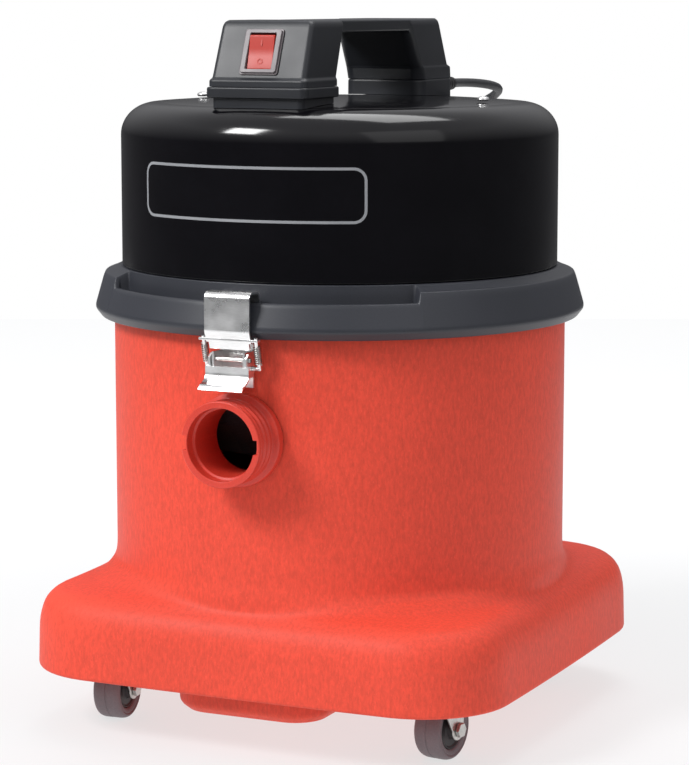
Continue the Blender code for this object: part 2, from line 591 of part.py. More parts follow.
def smooth_route(pts, step):
    """Centripetal Catmull-Rom through the points, read at an even spacing."""
    p = [Vector(q) for q in pts]
    p = [p[0] * 2 - p[1]] + p + [p[-1] * 2 - p[-2]]
    fine = []
    for i in range(1, len(p) - 2):
        a, b, c, d = p[i - 1], p[i], p[i + 1], p[i + 2]
        for k in range(24):
            t = k / 24
            fine.append(0.5 * ((2 * b) + (c - a) * t + (2 * a - 5 * b + 4 * c - d) * t * t + (3 * b - a - 3 * c + d) * t ** 3))
    fine.append(p[-2])
    total = sum((fine[i + 1] - fine[i]).length for i in range(len(fine) - 1))
    n = max(2, round(total / step))
    out = [fine[0]]
    goal, run, i = total / n, 0.0, 0
    want = goal
    for i in range(len(fine) - 1):
        seg = (fine[i + 1] - fine[i]).length
        while run + seg >= want - 1e-9 and len(out) < n:
            out.append(fine[i].lerp(fine[i + 1], (want - run) / seg))
            want += goal
        run += seg
    out.append(fine[-1])
    return out


pts = smooth_route(ROUTE, 12.5)
cu = bpy.data.curves.new("cord_tube", "CURVE")
cu.dimensions = "3D"
cu.bevel_depth = CORD_D / 2 * MM
cu.bevel_resolution = 2
cu.use_fill_caps = True
sp = cu.splines.new("POLY")
sp.points.add(len(pts) - 1)
for q, w in zip(sp.points, pts):
    q.co = (w.x * MM, w.y * MM, w.z * MM, 1.0)
cu.materials.append(material(*CORD))
ob = bpy.data.objects.new("cord_tube", cu)
SCENE.objects.link(ob)

lathe("cord_coil", [(COIL_R - COIL_HALF, 0.2), (COIL_R + COIL_HALF, 0.2), (COIL_R + COIL_HALF, COIL_TOP), (COIL_R - COIL_HALF, COIL_TOP)], 32, CORD, True,
      Matrix.Translation(Vector((COIL_C[0] * MM, COIL_C[1] * MM, 0))))

# moulded three-pin plug lying beside the coil, flex side towards it
PL = Matrix.Translation(Vector((-118.0 * MM, 316.0 * MM, 0))) @ Matrix.Rotation(math.radians(0), 4, "Z")
body = stack("plug", [rrect(-21, 21, -24, 24, 8, 0.3), rrect(-24, 24, -26, 26, 9, 4.0), rrect(-24, 24, -26, 26, 9, 20.0),
                      rrect(-18, 18, -20, 20, 8, 26.0)], CORD, True, PL)
for x0, x1, y0, y1 in ((-2.0, 2.0, 8.0, 16.0), (-14.2, -7.8, -12.0, -8.0), (7.8, 14.2, -12.0, -8.0)):
    boolean(body, box("p", (x0, y0, 25.0), (x1, y1, 45.0), None, PL), "UNION")
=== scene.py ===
"""Visual model of the commercial shop vacuum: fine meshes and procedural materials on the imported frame."""
import math
import json
import bpy
import bmesh
from mathutils import Matrix, Vector

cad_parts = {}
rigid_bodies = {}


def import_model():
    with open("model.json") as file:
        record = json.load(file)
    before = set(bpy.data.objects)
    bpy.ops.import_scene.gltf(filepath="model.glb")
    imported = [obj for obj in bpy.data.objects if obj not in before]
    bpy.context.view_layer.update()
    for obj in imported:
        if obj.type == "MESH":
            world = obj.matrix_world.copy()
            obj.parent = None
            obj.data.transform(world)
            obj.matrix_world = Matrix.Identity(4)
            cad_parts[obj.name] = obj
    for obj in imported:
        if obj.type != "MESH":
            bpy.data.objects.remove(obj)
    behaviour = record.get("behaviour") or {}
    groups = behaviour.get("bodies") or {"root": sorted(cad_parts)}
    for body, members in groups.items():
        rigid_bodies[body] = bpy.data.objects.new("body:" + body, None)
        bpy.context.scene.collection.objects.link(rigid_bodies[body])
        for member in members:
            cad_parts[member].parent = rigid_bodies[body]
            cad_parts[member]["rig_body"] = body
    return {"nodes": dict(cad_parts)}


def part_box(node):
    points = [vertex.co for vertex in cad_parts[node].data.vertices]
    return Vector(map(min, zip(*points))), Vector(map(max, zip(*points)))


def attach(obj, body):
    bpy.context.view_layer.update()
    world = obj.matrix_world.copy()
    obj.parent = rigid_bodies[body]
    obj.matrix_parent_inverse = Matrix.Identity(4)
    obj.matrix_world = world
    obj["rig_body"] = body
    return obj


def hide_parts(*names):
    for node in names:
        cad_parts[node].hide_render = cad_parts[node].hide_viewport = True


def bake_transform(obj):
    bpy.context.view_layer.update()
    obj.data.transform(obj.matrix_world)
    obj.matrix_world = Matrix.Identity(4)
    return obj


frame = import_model()
bpy.context.view_layer.update()
MM = 0.001
NODES = frame["nodes"]
SCENE = bpy.context.scene
COLL = SCENE.collection


def srgb(r, g, b):
    out = []
    for c in (r, g, b):
        c /= 255.0
        out.append(c / 12.92 if c <= 0.04045 else ((c + 0.055) / 1.055) ** 2.4)
    return tuple(out)


# ---------------------------------------------------------------- materials
def surface(name, rgb, rough, metal=0.0, grain=600.0, grain_amount=0.08, stretch=(1, 1, 1), patch=14.0,
            patch_amount=0.06, bump=0.15, bump_depth=0.0002, rough_spread=0.06, coat=0.0, coat_rough=0.1,
            spec=0.5, edge_tint=0.0, edge_tint_rgb=None, sheen=0.0, speck=0.0, weave=0.0):
    """Principled material whose colour, roughness and relief all vary over the surface."""
    m = bpy.data.materials.new(name)
    m.use_nodes = True
    nt = m.node_tree
    N, L = nt.nodes, nt.links
    b = N["Principled BSDF"]
    b.inputs["Metallic"].default_value = metal
    b.inputs["Specular IOR Level"].default_value = spec
    b.inputs["Coat Weight"].default_value = coat
    b.inputs["Coat Roughness"].default_value = coat_rough
    b.inputs["Sheen Weight"].default_value = sheen
    tc = N.new("ShaderNodeTexCoord")
    mp = N.new("ShaderNodeMapping")
    mp.inputs["Scale"].default_value = stretch
    L.new(tc.outputs["Object"], mp.inputs["Vector"])
    fine = N.new("ShaderNodeTexNoise")
    fine.inputs["Scale"].default_value = grain
    fine.inputs["Detail"].default_value = 4.0
    fine.inputs["Roughness"].default_value = 0.6
    L.new(mp.outputs["Vector"], fine.inputs["Vector"])
    broad = N.new("ShaderNodeTexNoise")
    broad.inputs["Scale"].default_value = patch
    broad.inputs["Detail"].default_value = 3.0
    L.new(tc.outputs["Object"], broad.inputs["Vector"])

    def ranged(src, a, c, lo, hi):
        r = N.new("ShaderNodeMapRange")
        r.inputs["From Min"].default_value = a
        r.inputs["From Max"].default_value = c
        r.inputs["To Min"].default_value = lo
        r.inputs["To Max"].default_value = hi
        L.new(src, r.inputs["Value"])
        return r.outputs["Result"]

    def mixed(fac, a, c, mode="MIX"):
        x = N.new("ShaderNodeMix")
        x.data_type = "RGBA"
        x.blend_type = mode
        if isinstance(fac, float):
            x.inputs["Factor"].default_value = fac
        else:
            L.new(fac, x.inputs["Factor"])
        for sock, v in ((x.inputs[6], a), (x.inputs[7], c)):
            if isinstance(v, tuple):
                sock.default_value = (v[0], v[1], v[2], 1.0)
            else:
                L.new(v, sock)
        return x.outputs[2]

    lo = tuple(c * (1 - grain_amount) for c in rgb)
    hi = tuple(min(1.0, c * (1 + grain_amount)) for c in rgb)
    col = mixed(ranged(fine.outputs["Fac"], 0.34, 0.66, 0.0, 1.0), lo, hi)
    tone = mixed(ranged(broad.outputs["Fac"], 0.3, 0.7, 0.0, 1.0),
                 (1 - patch_amount,) * 3, (1 + patch_amount * 0.6,) * 3)
    col = mixed(1.0, col, tone, "MULTIPLY")
    if speck:
        sp = N.new("ShaderNodeTexNoise")
        sp.inputs["Scale"].default_value = grain * 2.3
        sp.inputs["Detail"].default_value = 1.0
        L.new(mp.outputs["Vector"], sp.inputs["Vector"])
        col = mixed(ranged(sp.outputs["Fac"], 0.64, 0.72, 0.0, speck), col, tuple(min(1.0, c * 1.25 + 0.02) for c in rgb))
        col = mixed(ranged(sp.outputs["Fac"], 0.36, 0.28, 0.0, speck), col, tuple(c * 0.7 for c in rgb))
    # colour lighter along convex edges, read from pointiness
    if edge_tint:
        geo = N.new("ShaderNodeNewGeometry")
        col = mixed(ranged(geo.outputs["Pointiness"], 0.53, 0.62, 0.0, edge_tint), col, edge_tint_rgb or tuple(min(1.0, c * 1.6 + 0.03) for c in rgb))
    L.new(col, b.inputs["Base Color"])
    L.new(ranged(broad.outputs["Fac"], 0.25, 0.75, max(0.02, rough - rough_spread), min(1.0, rough + rough_spread)), b.inputs["Roughness"])
    height = fine.outputs["Fac"]
    if weave:
        wx = N.new("ShaderNodeTexWave")
        wx.inputs["Scale"].default_value = weave
        wx.inputs["Distortion"].default_value = 0.6
        L.new(tc.outputs["Object"], wx.inputs["Vector"])
        wz = N.new("ShaderNodeTexWave")
        wz.bands_direction = "Z"
        wz.inputs["Scale"].default_value = weave
        wz.inputs["Distortion"].default_value = 0.6
        L.new(tc.outputs["Object"], wz.inputs["Vector"])
        mul = N.new("ShaderNodeMath")
        mul.operation = "MULTIPLY"
        L.new(wx.outputs["Fac"], mul.inputs[0])
        L.new(wz.outputs["Fac"], mul.inputs[1])
        height = mul.outputs[0]
    bp = N.new("ShaderNodeBump")
    bp.inputs["Strength"].default_value = bump
    bp.inputs["Distance"].default_value = bump_depth
    L.new(height, bp.inputs["Height"])
    L.new(bp.outputs["Normal"], b.inputs["Normal"])
    return m


M = {
    "drum_red": surface("moulded_red", (0.81, 0.078, 0.043), 0.54, grain=430.0, grain_amount=0.10, stretch=(1, 1, 0.38),
                        patch=9.0, patch_amount=0.07, bump=0.35, bump_depth=0.00035, speck=0.35, edge_tint=0.25,
                        edge_tint_rgb=(0.84, 0.12, 0.080), spec=0.28),
    "inlet_red": surface("moulded_red_inlet", (0.70, 0.052, 0.030), 0.40, grain=700.0, grain_amount=0.06, patch=25.0,
                         patch_amount=0.05, bump=0.15, edge_tint=0.35, edge_tint_rgb=(0.85, 0.13, 0.09)),
    "charcoal": surface("charcoal_plastic", srgb(52, 54, 61), 0.44, grain=900.0, grain_amount=0.07, patch=11.0,
                        patch_amount=0.08, bump=0.3, bump_depth=0.00015, edge_tint=0.3, edge_tint_rgb=srgb(98, 102, 112)),
    "satin_black": surface("satin_black_plastic", srgb(36, 38, 43), 0.44, grain=1100.0, grain_amount=0.08, patch=16.0,
                           patch_amount=0.07, bump=0.25, bump_depth=0.00012, edge_tint=0.3, edge_tint_rgb=srgb(88, 91, 99)),
    "gloss_black": surface("gloss_black_enamel", srgb(11, 10, 14), 0.13, grain=260.0, grain_amount=0.10, patch=30.0,
                           patch_amount=0.15, bump=0.05, bump_depth=0.00008, rough_spread=0.025, coat=0.15,
                           coat_rough=0.08, spec=0.42),
    "plated_steel": surface("plated_steel_brushed", (0.97, 0.97, 0.96), 0.30, metal=1.0, grain=1500.0,
                            grain_amount=0.06, stretch=(0.15, 1, 1), patch=60.0, patch_amount=0.10, bump=0.12,
                            bump_depth=0.00006, rough_spread=0.07),
    "steel": surface("zinc_steel", (0.60, 0.60, 0.58), 0.34, metal=1.0, grain=500.0, grain_amount=0.10, patch=80.0,
                     patch_amount=0.16, bump=0.15, bump_depth=0.0001, rough_spread=0.10),
    "tyre_grey": surface("tyre_grey_rubber", srgb(120, 108, 112), 0.58, grain=900.0, grain_amount=0.08, patch=35.0,
                         patch_amount=0.12, bump=0.3, bump_depth=0.0001, edge_tint=0.25, edge_tint_rgb=srgb(150, 140, 140)),
    "hub_dark": surface("hub_dark_plastic", srgb(44, 40, 42), 0.5, grain=800.0, patch=40.0, bump=0.2),
    "rubber": surface("black_rubber", srgb(26, 25, 27), 0.62, grain=1200.0, grain_amount=0.12, patch=30.0, bump=0.35,
                      bump_depth=0.0001),
    "rocker_red": surface("rocker_red_gloss", (0.50, 0.028, 0.014), 0.36, grain=700.0, grain_amount=0.03, patch=60.0,
                          patch_amount=0.04, bump=0.05, rough_spread=0.04, spec=0.4),
    "bezel_grey": surface("bezel_grey_plastic", srgb(112, 104, 107), 0.42, grain=1000.0, grain_amount=0.05, patch=50.0,
                          bump=0.15, edge_tint=0.2),
    "filter_cloth": surface("filter_cloth_weave", srgb(74, 75, 79), 0.9, grain=1500.0, grain_amount=0.08,
                            patch=20.0, patch_amount=0.1, bump=0.5, bump_depth=0.0004, sheen=0.3, weave=260.0, spec=0.2),
    "cord_grey": surface("cord_grey_pvc", srgb(52, 53, 56), 0.48, grain=900.0, grain_amount=0.10, patch=25.0,
                         patch_amount=0.08, bump=0.2, bump_depth=0.0001),
    "copper": surface("copper_winding", (0.72, 0.33, 0.17), 0.34, metal=1.0, grain=900.0, grain_amount=0.2,
                      stretch=(1, 1, 6), patch=50.0, patch_amount=0.2, bump=0.5, bump_depth=0.0004),
}
BRASS = surface("brass_pin", (0.75, 0.56, 0.26), 0.25, metal=1.0, grain=900.0, patch=60.0, bump=0.08)
WHITE_INK = surface("white_ink", srgb(238, 228, 224), 0.4, grain=1200.0, grain_amount=0.03, bump=0.05)
SILVER_INK = surface("silver_ink", srgb(150, 152, 156), 0.38, grain=1400.0, grain_amount=0.06, patch=60.0, bump=0.05)
# near-black colour: painted shade for the gap round the switch bezel
PAINTED_GAP_SHADE = surface("painted_gap_shade", srgb(14, 14, 16), 0.5, grain=900.0, bump=0.1)


# ---------------------------------------------------------------- mesh tools
def new_obj(name, verts, faces, mat=None, matrix=None, angle=35):
    me = bpy.data.meshes.new(name)
    me.from_pydata([(v[0] * MM, v[1] * MM, v[2] * MM) for v in verts], [], faces)
    bm = bmesh.new()
    bm.from_mesh(me)
    bmesh.ops.recalc_face_normals(bm, faces=bm.faces)
    bm.to_mesh(me)
    bm.free()
    if matrix is not None:
        me.transform(matrix)
    me.shade_smooth()
    me.set_sharp_from_angle(angle=math.radians(angle))
    ob = bpy.data.objects.new(name, me)
    COLL.objects.link(ob)
    if mat:
        me.materials.append(mat)
    return ob


def soften(rows, radius, n=3, closed=False):
    """Round the corners that a series of rows makes. Each row holds one or more points, side by side."""
    rad = list(radius) if isinstance(radius, (list, tuple)) else [radius] * len(rows)
    out = []
    m = len(rows)
    for k, row in enumerate(rows):
        if rad[k] <= 0 or (not closed and k in (0, m - 1)):
            out.append([Vector(p) for p in row])
            continue
        new = [[] for _ in range(n + 1)]
        for p0, p, p1 in zip(rows[k - 1], row, rows[(k + 1) % m]):
            p0, p, p1 = Vector(p0), Vector(p), Vector(p1)
            a, c = p0 - p, p1 - p
            s = p + a * min(0.45, rad[k] / max(a.length, 1e-6))
            e = p + c * min(0.45, rad[k] / max(c.length, 1e-6))
            for i in range(n + 1):
                t = i / n
                new[i].append(s * (1 - t) ** 2 + p * (2 * t * (1 - t)) + e * (t * t))
        out += new
    return out


def profile(prof, radius, n=3, closed=False):
    return [tuple(r[0]) for r in soften([[p] for p in prof], radius, n, closed)]


def lathe(name, prof, seg, mat=None, closed=True, matrix=None, angle=35):
    verts, rows = [], []
    for r, z in prof:
        if r <= 1e-6:
            rows.append([len(verts)])
            verts.append((0.0, 0.0, z))
        else:
            rows.append(list(range(len(verts), len(verts) + seg)))
            for i in range(seg):
                a = 2 * math.pi * i / seg
                verts.append((r * math.cos(a), r * math.sin(a), z))
    faces = []
    pairs = list(zip(rows[:-1], rows[1:]))
    if closed:
        pairs.append((rows[-1], rows[0]))
    for a, b in pairs:
        if len(a) == 1 and len(b) == 1:
            continue
        for i in range(seg):
            j = (i + 1) % seg
            if len(a) == 1:
                faces.append((a[0], b[i], b[j]))
            elif len(b) == 1:
                faces.append((a[i], b[0], a[j]))
            else:
                faces.append((a[i], b[i], b[j], a[j]))
    return new_obj(name, verts, faces, mat, matrix, angle)


def stack(name, rings, mat=None, cap=True, matrix=None, angle=35):
    n = len(rings[0])
    verts = [tuple(p) for ring in rings for p in ring]
    faces = []
    for k in range(len(rings) - 1):
        for i in range(n):
            j = (i + 1) % n
            faces.append((k * n + i, k * n + j, (k + 1) * n + j, (k + 1) * n + i))
    if cap:
        faces.append(tuple(range(n)))
        faces.append(tuple(range((len(rings) - 1) * n, len(rings) * n)))
    return new_obj(name, verts, faces, mat, matrix, angle)


def box(name, lo, hi, mat=None, matrix=None):
    x0, y0, z0 = lo
    x1, y1, z1 = hi
    v = [(x0, y0, z0), (x1, y0, z0), (x1, y1, z0), (x0, y1, z0),
         (x0, y0, z1), (x1, y0, z1), (x1, y1, z1), (x0, y1, z1)]
    f = [(0, 3, 2, 1), (4, 5, 6, 7), (0, 1, 5, 4), (1, 2, 6, 5), (2, 3, 7, 6), (3, 0, 4, 7)]
    return new_obj(name, v, f, mat, matrix)


def prism(name, poly, lo, hi, axis, mat=None, matrix=None):
    def put(p, d):
        if axis == "X":
            return (d, p[0], p[1])
        if axis == "Y":
            return (p[0], d, p[1])
        return (p[0], p[1], d)
    return stack(name, [[put(p, lo) for p in poly], [put(p, hi) for p in poly]], mat, True, matrix)


def cyl(name, c, r, lo, hi, axis, seg=32, mat=None, matrix=None):
    poly = [(c[0] + r * math.cos(2 * math.pi * i / seg), c[1] + r * math.sin(2 * math.pi * i / seg)) for i in range(seg)]
    return prism(name, poly, lo, hi, axis, mat, matrix)


def rrect(x0, x1, y0, y1, r, z, n=8):
    pts = []
    for cx, cy, a0 in ((x1 - r, y1 - r, 0), (x0 + r, y1 - r, 90), (x0 + r, y0 + r, 180), (x1 - r, y0 + r, 270)):
        for k in range(n + 1):
            a = math.radians(a0 + 90.0 * k / n)
            pts.append((cx + r * math.cos(a), cy + r * math.sin(a), z))
    return pts


def strip(path, t, radius=1.2, n=4):
    """Closed outline of a plate of thickness t along a centre line whose corners are rounded."""
    path = profile(path, radius, n)
    left, right = [], []
    m = len(path)
    for i, p in enumerate(path):
        a = Vector(path[max(i - 1, 0)])
        b = Vector(path[min(i + 1, m - 1)])
        d = (b - a).normalized()
        nrm = Vector((-d.y, d.x))
        left.append((p[0] + nrm.x * t / 2, p[1] + nrm.y * t / 2))
        right.append((p[0] - nrm.x * t / 2, p[1] - nrm.y * t / 2))
    return left + right[::-1]


def applied(ob, keep_mats=True):
    bpy.context.view_layer.update()
    dg = bpy.context.evaluated_depsgraph_get()
    mats = [m for m in ob.data.materials]
    me = bpy.data.meshes.new_from_object(ob.evaluated_get(dg))
    ob.modifiers.clear()
    ob.data = me
    me.materials.clear()
    for m in (mats if keep_mats else mats[:1]):
        me.materials.append(m)
    return me


def shade(ob, angle=35):
    ob.data.shade_smooth()
    ob.data.set_sharp_from_angle(angle=math.radians(angle))
    return ob


def boolean(ob, cutter, op="DIFFERENCE", angle=35):
    md = ob.modifiers.new("cut", "BOOLEAN")
    md.operation = op
    md.solver = "EXACT"
    md.object = cutter
    me = applied(ob, False)
    me.polygons.foreach_set("material_index", [0] * len(me.polygons))
    bpy.data.objects.remove(cutter, do_unlink=True)
    bm = bmesh.new()
    bm.from_mesh(me)
    bmesh.ops.remove_doubles(bm, verts=bm.verts, dist=2e-7)
    bm.to_mesh(me)
    bm.free()
    return shade(ob, angle)


def bevel(ob, width, seg=2, angle=30, smooth=40):
    md = ob.modifiers.new("bevel", "BEVEL")
    md.width = width * MM
    md.segments = seg
    md.limit_method = "ANGLE"
    md.angle_limit = math.radians(angle)
    md.use_clamp_overlap = True
    md.harden_normals = False
    applied(ob)
    return shade(ob, smooth)


def joined(name, *obs):
    """Several meshes as one object, keeping each one's materials."""
    mats, bm = [], bmesh.new()
    for o in obs:
        me = o.data
        start = len(bm.faces)
        bm.from_mesh(me)
        bm.faces.ensure_lookup_table()
        index = []
        for m in me.materials:
            if m not in mats:
                mats.append(m)
            index.append(mats.index(m))
        for f in bm.faces[start:]:
            f.material_index = index[f.material_index] if index else 0
    me = bpy.data.meshes.new(name)
    bm.to_mesh(me)
    bm.free()
    for m in mats:
        me.materials.append(m)
    for o in obs:
        bpy.data.objects.remove(o, do_unlink=True)
    ob = bpy.data.objects.new(name, me)
    COLL.objects.link(ob)
    return ob


def tube(name, pts, r, mat, seg=12, cap=True):
    """Round tube along points, with a frame carried from one point to the next."""
    verts, faces = [], []
    n = len(pts)
    t_old = (pts[1] - pts[0]).normalized()
    u = t_old.orthogonal().normalized()
    for i in range(n):
        t = (pts[min(i + 1, n - 1)] - pts[max(i - 1, 0)]).normalized()
        u = (u - t * u.dot(t)).normalized()
        w = t.cross(u)
        for k in range(seg):
            a = 2 * math.pi * k / seg
            verts.append(pts[i] + (u * math.cos(a) + w * math.sin(a)) * r)
    for i in range(n - 1):
        for k in range(seg):
            j = (k + 1) % seg
            faces.append((i * seg + k, i * seg + j, (i + 1) * seg + j, (i + 1) * seg + k))
    if cap:
        faces.append(tuple(range(seg)))
        faces.append(tuple(range((n - 1) * seg, n * seg)))
    return new_obj(name, verts, faces, mat, None, 60)


def weighted(ob):
    """Normals weighted by face area, so that large faces stay true beside small rounded edges."""
    md = ob.modifiers.new("normals", "WEIGHTED_NORMAL")
    md.mode = "FACE_AREA"
    md.weight = 80
    md.keep_sharp = True
    applied(ob)
    return ob


def put(ob, body, slot, *nodes):
    weighted(ob)
    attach(ob, body)
    if nodes:
        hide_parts(*nodes)
    return ob


# ---------------------------------------------------------------- dimensions, as the CAD has them (mm)
DRUM_R, WALL, DRUM_RIM_Z = 165.0, 4.5, 301.0
BASE_HALF, BASE_CORNER, BASE_Z0, CEIL_Z, FLOOR_Z = 182.0, 66.0, 44.0, 62.0, 66.3
Y_EXT, INLET_Z, INLET_BORE = 193.0, 223.0, 23.5
BAND_R, COVER_R, COVER_Z0, COVER_Z1, SH, COVER_CROWN = 178.5, 159.0, 330.0, 424.0, 25.0, 450.5
HANDLE_TOP, HEAD_PLATE_Z = 506.5, 308.0
WHEEL_R, WHEEL_W, TRAIL = 22.0, 21.0, 13.0
CASTOR_X, CASTOR_Y, CASTOR_IN = 127.0, 124.0, 120.0
GAP = 0.3

# ---------------------------------------------------------------- camera
A = math.radians(24.8)
cam_data = bpy.data.cameras.new("camera")
cam_data.lens = 124.7
cam_data.sensor_width = 36.0
cam_data.clip_end = 50.0
cam = bpy.data.objects.new("camera", cam_data)
cam.location = (1.937 * math.sin(A), -1.937 * math.cos(A), 0.520)
cam.rotation_euler = (math.radians(90 - 8.21), math.radians(0.0), A - math.radians(0.10))
COLL.objects.link(cam)
SCENE.camera = cam


# ---------------------------------------------------------------- cord
def smooth_route(pts, step):
    """Catmull-Rom through the points, read at an even spacing."""
    p = [Vector(q) for q in pts]
    p = [p[0] * 2 - p[1]] + p + [p[-1] * 2 - p[-2]]
    fine = []
    for i in range(1, len(p) - 2):
        a, b, c, d = p[i - 1], p[i], p[i + 1], p[i + 2]
        for k in range(24):
            t = k / 24
            fine.append(0.5 * ((2 * b) + (c - a) * t + (2 * a - 5 * b + 4 * c - d) * t * t + (3 * b - a - 3 * c + d) * t ** 3))
    fine.append(p[-2])
    return spaced(fine, step)


def spaced(fine, step):
    total = sum((fine[i + 1] - fine[i]).length for i in range(len(fine) - 1))
    n = max(2, round(total / step))
    out, run, goal = [fine[0]], 0.0, total / n
    want = goal
    for i in range(len(fine) - 1):
        seg = (fine[i + 1] - fine[i]).length
        while run + seg >= want - 1e-9 and len(out) < n:
            out.append(fine[i].lerp(fine[i + 1], (want - run) / seg))
            want += goal
        run += seg
    out.append(fine[-1])
    return out


CORD_D = 7.0
COIL_C = (0.0, 292.0)
COLS, LAYERS, PITCH = 6, 4, 7.05
R_OUT, Z_LOW = 77.3, 3.8
relief_lo, relief_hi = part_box("strain_relief")
EX, EZ, EY = (relief_lo[0] + relief_hi[0]) * 500.0, (relief_lo[2] + relief_hi[2]) * 500.0, relief_hi[1] * 1000.0
route = [(EX, EY - 6.0, EZ), (EX, EY + 1.0, EZ), (EX + 0.4, EY + 16.0, EZ), (25.0, 197.5, 455.4), (31.5, 214.0, 453.6), (33.0, 231.0, 450.0),
         (23.5, 246.0, 444.0), (4.5, 252.5, 434.0), (-15.5, 250.0, 418.5), (-32.0, 243.5, 396.0), (-43.0, 236.5, 364.0),
         (-50.0, 231.0, 326.0), (-55.0, 227.0, 280.0), (-59.0, 225.0, 232.0), (-62.0, 224.0, 184.0), (-66.0, 224.5, 138.0),
         (-72.0, 227.5, 98.0), (-79.0, 233.5, 64.0), (-86.5, 243.0, 36.5), (-91.0, 256.0, 16.5), (-90.0, 271.0, 6.0),
         (-85.2, 285.0, 3.8)]


STEPS = ([(300.0 + 360 * k, "r", -1) for k in range(5)] + [(2040.0, "z", 1)]
         + [(2340.0 + 360 * k, "r", 1) for k in range(5)] + [(4080.0, "z", 1)]
         + [(4380.0 + 360 * k, "r", -1) for k in range(5)] + [(6120.0, "z", 1)]
         + [(6420.0 + 360 * k, "r", 1) for k in range(5)])
COIL_END = 8214.0


def ease(t):
    t = max(0.0, min(1.0, t))
    return t * t * (3 - 2 * t)


def wound():
    """Turns lie beside and on each other. Each layer steps sideways in its own sixth of the circle."""
    pts = []
    phase = 0.0
    while phase <= COIL_END + 1e-6:
        r, z = R_OUT, Z_LOW
        for at, kind, sign in STEPS:
            move = PITCH * sign * ease((phase - at) / 60.0)
            if kind == "r":
                r += move
            else:
                z += move
        r += 8.4 * (1 - ease(phase / 48.0))
        th = math.radians(184.7 - phase)
        pts.append(Vector((COIL_C[0] + r * math.cos(th), COIL_C[1] + r * math.sin(th), z)))
        phase += 6.0
    return pts


turns = wound()
tail = [tuple(turns[-2]), tuple(turns[-1]), (-45.5, 217.0, 21.0), (-65.0, 217.5, 12.0), (-85.0, 223.5, 5.6),
        (-103.0, 236.5, 3.8), (-113.5, 254.0, 5.6), (-117.6, 272.0, 10.2), (-118.0, 290.0, 12.0), (-118.0, 296.0, 12.0)]
lead = smooth_route(route, 6.0)
line = lead[:-1] + turns[:-2] + smooth_route(tail, 6.0)
line = spaced(line, 6.5)
cord = tube("mains_cord", line, CORD_D / 2, M["cord_grey"], 12)

PL = Matrix.Translation(Vector((-118.0 * MM, 316.0 * MM, 0)))
plug = stack("mains_plug", soften([rrect(-20.6, 20.6, -23.6, 23.6, 8, 0.4), rrect(-23.8, 23.8, -25.8, 25.8, 9, 4.0),
                                   rrect(-23.8, 23.8, -25.8, 25.8, 9, 20.0), rrect(-18, 18, -20, 20, 8, 26.0)],
                                  [0, 2.5, 2.5, 0], 4), M["cord_grey"], True, PL)
bevel(plug, 0.8, 2)
ribs = []
for k in range(4):
    ribs.append(stack("rib", soften([rrect(-19 + k * 1.2, 19 - k * 1.2, -14 + k * 8.0, -11.4 + k * 8.0, 1.2, 24.5, 3),
                                     rrect(-19 + k * 1.2, 19 - k * 1.2, -14 + k * 8.0, -11.4 + k * 8.0, 1.2, 26.5, 3)], 0),
                      M["cord_grey"], True, PL))
pins = [bevel(box("pin", lo, hi, BRASS, PL), 0.5, 2) for lo, hi in (
    ((-2.0, 8.0, 25.0), (2.0, 16.0, 45.0)), ((-14.2, -12.0, 25.0), (-7.8, -8.0, 45.0)), ((7.8, -12.0, 25.0), (14.2, -8.0, 45.0)))]
plug = joined("mains_plug", plug, *ribs, *pins)
shade(plug)
put(plug, "tub", "cord_grey", "plug")

relief = profile([(0, 133.0), (4.2, 133.0), (4.2, 140.6), (6.8, 140.6), (6.8, 143.0), (6.2, 144.2), (5.9, 147.2), (5.2, 147.6),
                  (5.2, 148.8), (5.8, 149.2), (5.6, 152.2), (5.0, 152.6), (5.0, 153.8), (5.6, 154.2), (5.4, 157.2), (4.8, 157.6),
                  (4.8, 158.8), (5.3, 159.2), (5.0, 163.0), (4.4, 164.0), (0, 164.0)], 0.25, 2)
relief = lathe("cord_strain_relief", relief, 40, M["rubber"], False,
               Matrix.Translation(Vector((EX * MM, 0, EZ * MM))) @ Matrix.Rotation(math.radians(-90), 4, "X"))
put(relief, "head", "rubber", "strain_relief")
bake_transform(cord)
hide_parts("cord_tube", "cord_coil")


# ---------------------------------------------------------------- drum
def square_radius(a, half, corner, bow):
    q = abs(((a + math.pi / 4) % (math.pi / 2)) - math.pi / 4)
    c, s = math.cos(q), math.sin(q)
    flat = half - corner
    r = half / c
    if r * s > flat:
        b = flat * (c + s)
        r = b + math.sqrt(max(b * b - 2 * flat * flat + corner * corner, 0.0))
    else:
        r += bow * (1 - (r * s / max(flat, 1.0)) ** 2) / c
    return r


def base_ring(half, z, blend=0.0, circle=0.0, seg=192):
    corner = BASE_CORNER - (BASE_HALF - half)
    pts = []
    for i in range(seg):
        a = 2 * math.pi * i / seg
        r = (1 - blend) * square_radius(a, half, corner, 1.5) + blend * circle
        pts.append((r * math.cos(a), r * math.sin(a), z))
    return pts


def circle_ring(r, z, seg=192):
    return base_ring(BASE_HALF, z, 1.0, r, seg)


h = BASE_HALF - 1.5
rings = [base_ring(h - 5.2, CEIL_Z), base_ring(h - 4.6, BASE_Z0), base_ring(h - 1.2, BASE_Z0), base_ring(h, BASE_Z0 + 1.6),
         base_ring(h - 1.0, 80.0), base_ring(h - 5.5, 93.0), base_ring(h - 14.5, 100.5), base_ring(h - 20.0, 105.0, 0.6, 169.0),
         circle_ring(166.6, 113.5), circle_ring(DRUM_R, 122.0), circle_ring(DRUM_R, DRUM_RIM_Z),
         circle_ring(DRUM_R - WALL, DRUM_RIM_Z), circle_ring(DRUM_R - WALL, 118.0), base_ring(h - 24.0, 101.0, 0.6, 163.0),
         base_ring(h - 12.0, 91.0), base_ring(h - 6.0, 80.0), base_ring(h - 8.0, FLOOR_Z)]
drum = stack("drum_shell", soften(rings, [0, 0.8, 0.8, 1.4, 9, 6, 6, 5, 5, 6, 1.2, 1.2, 5, 4, 4, 6, 0], 4), M["drum_red"])
